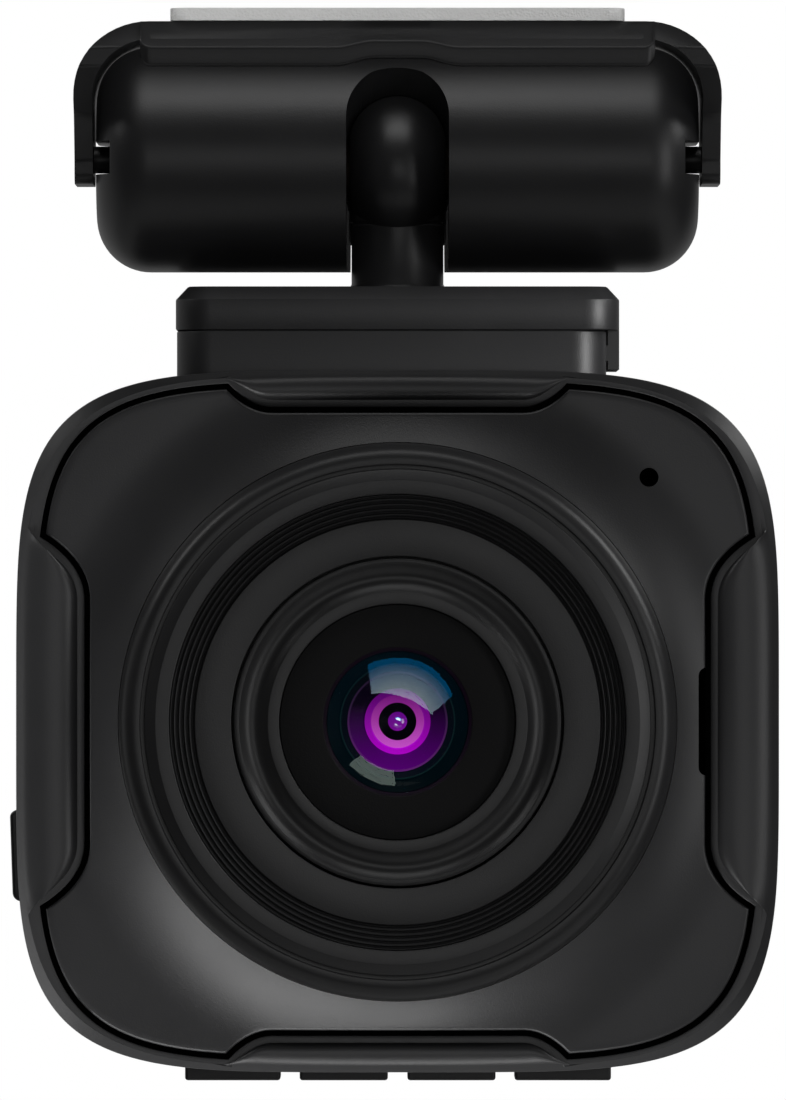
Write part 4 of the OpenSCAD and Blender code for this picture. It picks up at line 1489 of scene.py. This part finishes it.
# %% [markdown]
# ## Finishes on the engineering pieces
#
# Everything that wasn't built again is shown as the engineering model has it. The record says which
# material slot each piece belongs to, so one loop gives all of them their finish. The washers are the
# exception. Bright brass would show beside the knuckle, so they are made of dark oiled bronze instead.

# %% Remaining pieces
WASHERS = ("friction_washers", "swivel_washer")
OILED_BRONZE = metal("oiled_bronze", (0.020, 0.015, 0.010), 0.5)


def finish_frame():
    count = 0
    for row in RECORD["subparts"]:
        node = frame["nodes"][row["node"]]
        node.data.materials.clear()
        look = OILED_BRONZE if row["node"] in WASHERS else MATERIALS[row["material_slot"]]
        node.data.materials.append(look)
        count += not node.hide_render
    print(count, "engineering pieces shown with a finish")


finish_frame()

# %% [markdown]
# ## Light
#
# Black plastic has almost no colour of its own, so it is lit by what it reflects. The room is kept dim in
# front and bright behind, and each soft box is put where a certain surface should mirror it. Soft boxes are
# area lights that the camera can't see.
#
# This is a staged light, and one set of real lamps couldn't give it. About half of the boxes fall on chosen
# pieces only: the cover and shell, the barrel and stem, the pad, or the two blocks. The front box spares
# the glass, and two boxes shine through the bracket as if it weren't there.
#
# The two shapes in the front glass have straight and curved sides that no area light has. Each is a small
# glowing sheet, drawn by the two edges that its picture should have in the glass. A mirror turns a ray by
# twice its own lean, and that gives the sheet's place. The sheets belong to the stage.

# %% Stage
FLOOR_Z = -0.55


def paper():
    recipe = Recipe("paper")
    fibre = recipe.noise(0.002, 3.0)
    tint = recipe.blend(fibre, grey(0.90), grey(0.94))
    return recipe.finish(Base_Color=tint, Roughness=0.9, Normal=recipe.bump(fibre, 0.1, 0.0002))


floor = prism("floor", circle(0.75, 96), "Z", FLOOR_Z - 0.004, FLOOR_Z)
floor.data.materials.append(paper())


def room(camera_white, glow, behind):
    """White where the camera looks past the object. For reflections, dim in front and bright behind."""
    world = bpy.data.worlds.new("room")
    bpy.context.scene.world = world
    world.use_nodes = True
    tree = world.node_tree
    tree.nodes.clear()
    place_of = tree.nodes.new("ShaderNodeTexCoord")
    lean = tree.nodes.new("ShaderNodeVectorMath")
    lean.operation = "DOT_PRODUCT"
    lean.inputs[1].default_value = Vector((-0.45, 0.80, -0.30)).normalized()
    ramp = tree.nodes.new("ShaderNodeMapRange")
    ramp.interpolation_type = "SMOOTHSTEP"
    ramp.inputs["From Min"].default_value = 0.05
    ramp.inputs["From Max"].default_value = 0.75
    ramp.inputs["To Min"].default_value = glow
    ramp.inputs["To Max"].default_value = behind
    path = tree.nodes.new("ShaderNodeLightPath")
    choice = tree.nodes.new("ShaderNodeMix")
    choice.inputs[3].default_value = camera_white
    shade = tree.nodes.new("ShaderNodeBackground")
    shade.inputs["Color"].default_value = grey(1.0)
    out = tree.nodes.new("ShaderNodeOutputWorld")
    tree.links.new(place_of.outputs["Generated"], lean.inputs[0])
    tree.links.new(lean.outputs["Value"], ramp.inputs["Value"])
    tree.links.new(path.outputs["Is Camera Ray"], choice.inputs[0])
    tree.links.new(ramp.outputs["Result"], choice.inputs[2])
    tree.links.new(choice.outputs[0], shade.inputs["Strength"])
    tree.links.new(shade.outputs[0], out.inputs["Surface"])


def linked(name, pieces, state):
    """A collection that says which pieces a light reaches, or which ones don't cast its shadow."""
    group = bpy.data.collections.new(name)
    for piece in pieces:
        group.objects.link(piece)
    for entry in group.collection_objects:
        entry.light_linking.link_state = state
    return group


def soft_box(name, direction, distance, size, power, aim=(0, 0, -0.05), only=None, spare=None, through=None):
    """An area light that stands in a direction from the object and faces it."""
    data = bpy.data.lights.new(name, "AREA")
    data.shape = "RECTANGLE"
    data.size, data.size_y = size
    data.energy = power
    box = bpy.data.objects.new(name, data)
    out = Vector(direction).normalized()
    box.location = Vector(aim) + out * distance
    box.rotation_euler = out.to_track_quat("Z", "Y").to_euler()
    box.visible_camera = False
    if only:
        box.light_linking.receiver_collection = linked(name + "_on", only, "INCLUDE")
    if spare:
        box.light_linking.receiver_collection = linked(name + "_off", spare, "EXCLUDE")
    if through:
        box.light_linking.blocker_collection = linked(name + "_through", through, "EXCLUDE")
    bpy.context.scene.collection.objects.link(box)
    return box


# A sheet turns from its inner to its outer colour between these two distances from the lens axis, given as
# parts of its own distance from the lens.
PALE_AT = 0.26
DEEP_AT = 0.52


def mirror_direction(across, up):
    """Where the front glass looks from one of its points. The point is in parts of the ball's radius."""
    reach = math.hypot(across, up)
    lean = 2 * math.asin(reach)
    return Vector((across / reach * math.sin(lean), -math.cos(lean), up / reach * math.sin(lean)))


def through_three(points, t):
    """A smooth curve through three points, for t from 0 to 1."""
    weights = ((1 - t) * (1 - 2 * t), 4 * t * (1 - t), t * (2 * t - 1))
    return [sum(w * p[axis] for w, p in zip(weights, points)) for axis in (0, 1)]


def glow_sheet(name, distance, near_edge, far_edge, inner, outer, strength, only):
    """A sheet in front of the lens, drawn by the two edges that its picture has in the front glass."""
    rows = 8
    steps = 24
    centre = Vector((0, 0, LENS_Z))
    vertices = []
    for k in range(rows + 1):
        for i in range(steps + 1):
            low = through_three(near_edge, i / steps)
            high = through_three(far_edge, i / steps)
            spot = [a + (b - a) * k / rows for a, b in zip(low, high)]
            vertices.append(tuple(centre + mirror_direction(*spot) * distance))
    faces = []
    for k in range(rows):
        for i in range(steps):
            a = k * (steps + 1) + i
            faces.append((a, a + 1, a + steps + 2, a + steps + 1))
    sheet = as_object(name, vertices, faces)
    recipe = Recipe(name)
    place_of = recipe.places()
    parts = [recipe.node("SeparateXYZ", {}, {0: place_of}, k) for k in (0, 2)]
    up = parts[1] - LENS_Z
    reach = recipe.node("Math", {"operation": "POWER"}, {0: parts[0] * parts[0] + up * up, 1: 0.5})
    near = distance * PALE_AT
    far = distance * DEEP_AT
    share = (reach - near) / (far - near)
    tint = recipe.node("ValToRGB", {"stops": [(0.0, inner), (1.0, outer)]}, {0: share})
    light = recipe.node("Emission", {}, {"Color": tint, "Strength": strength})
    recipe.node_output(light)
    sheet.data.materials.append(recipe.material)
    sheet.visible_camera = False
    sheet.light_linking.receiver_collection = linked(name + "_on", only, "INCLUDE")
    return sheet


room(1.0, 0.012, 0.3)
GLASS = [front_glass, pupil]
glow_sheet(
    "sheet_upper", 0.5,
    ((-0.120, 0.124), (0.023, 0.111), (0.159, 0.030)),
    ((-0.140, 0.262), (0.101, 0.276), (0.260, 0.116)),
    (0.62, 0.78, 0.84), (0.0, 0.14, 0.36), 17.0, GLASS,
)
glow_sheet(
    "sheet_lower", 0.4,
    ((-0.168, -0.161), (-0.105, -0.206), (-0.017, -0.232)),
    ((-0.232, -0.207), (-0.130, -0.277), (-0.009, -0.302)),
    (0.50, 0.62, 0.56), (0.50, 0.62, 0.56), 10.0, GLASS,
)
FACE = [cover, ring, shell]
OVER = [bracket, pad]
TUBE = [barrel_front, barrel_rear, knuckle_stem]
LOW_BLOCKS = [shoe_block, dock_block]
soft_box("front", (0.1, -1.0, 0.14), 1.1, (0.5, 0.5), 0.95, spare=GLASS)
soft_box("top", (0.0, -0.45, 1.0), 0.8, (0.6, 0.3), 0.8, through=OVER)
soft_box("upper_right", (0.85, -0.12, 0.6), 0.7, (0.3, 0.3), 1.3)
soft_box("upper_left", (-0.85, -0.2, 0.7), 0.7, (0.2, 0.3), 0.5)
soft_box("right_front", (0.8, -0.8, 0.0), 0.8, (0.25, 0.5), 0.8)
soft_box("cover_top", (0.0, -1.0, 0.35), 0.7, (0.5, 0.15), 0.05, only=FACE)
soft_box("tube_top", (0.0, -0.35, 1.0), 0.7, (0.6, 0.6), 0.9, (0, 0, -0.012), only=TUBE, through=OVER + TUBE)
soft_box("pad_front", (0.0, -1.0, 0.3), 0.6, (0.4, 0.2), 12.0, (0, 0, 0), only=[pad])
soft_box("low_right", (0.8, -0.6, 0.1), 0.06, (0.03, 0.03), 0.025, (0.012, -0.01, -0.028), only=LOW_BLOCKS)
soft_box("lower_left", (-0.42, -0.55, -0.62), 0.42, (0.36, 0.14), 0.75, (0, 0, -0.06), only=FACE)
soft_box("low", (-0.1, -0.45, -0.8), 0.40, (0.25, 0.1), 0.45, (0, 0, -0.06), only=FACE)
soft_box("left_edge", (-0.9, -0.05, -0.45), 0.5, (0.2, 0.4), 0.5, (0, 0, -0.06), only=FACE)
soft_box("back", (0.3, 0.9, 0.5), 0.9, (0.4, 0.5), 0.6)
bpy.context.scene.view_settings.view_transform = "Standard"
print("floor at", FLOOR_Z)
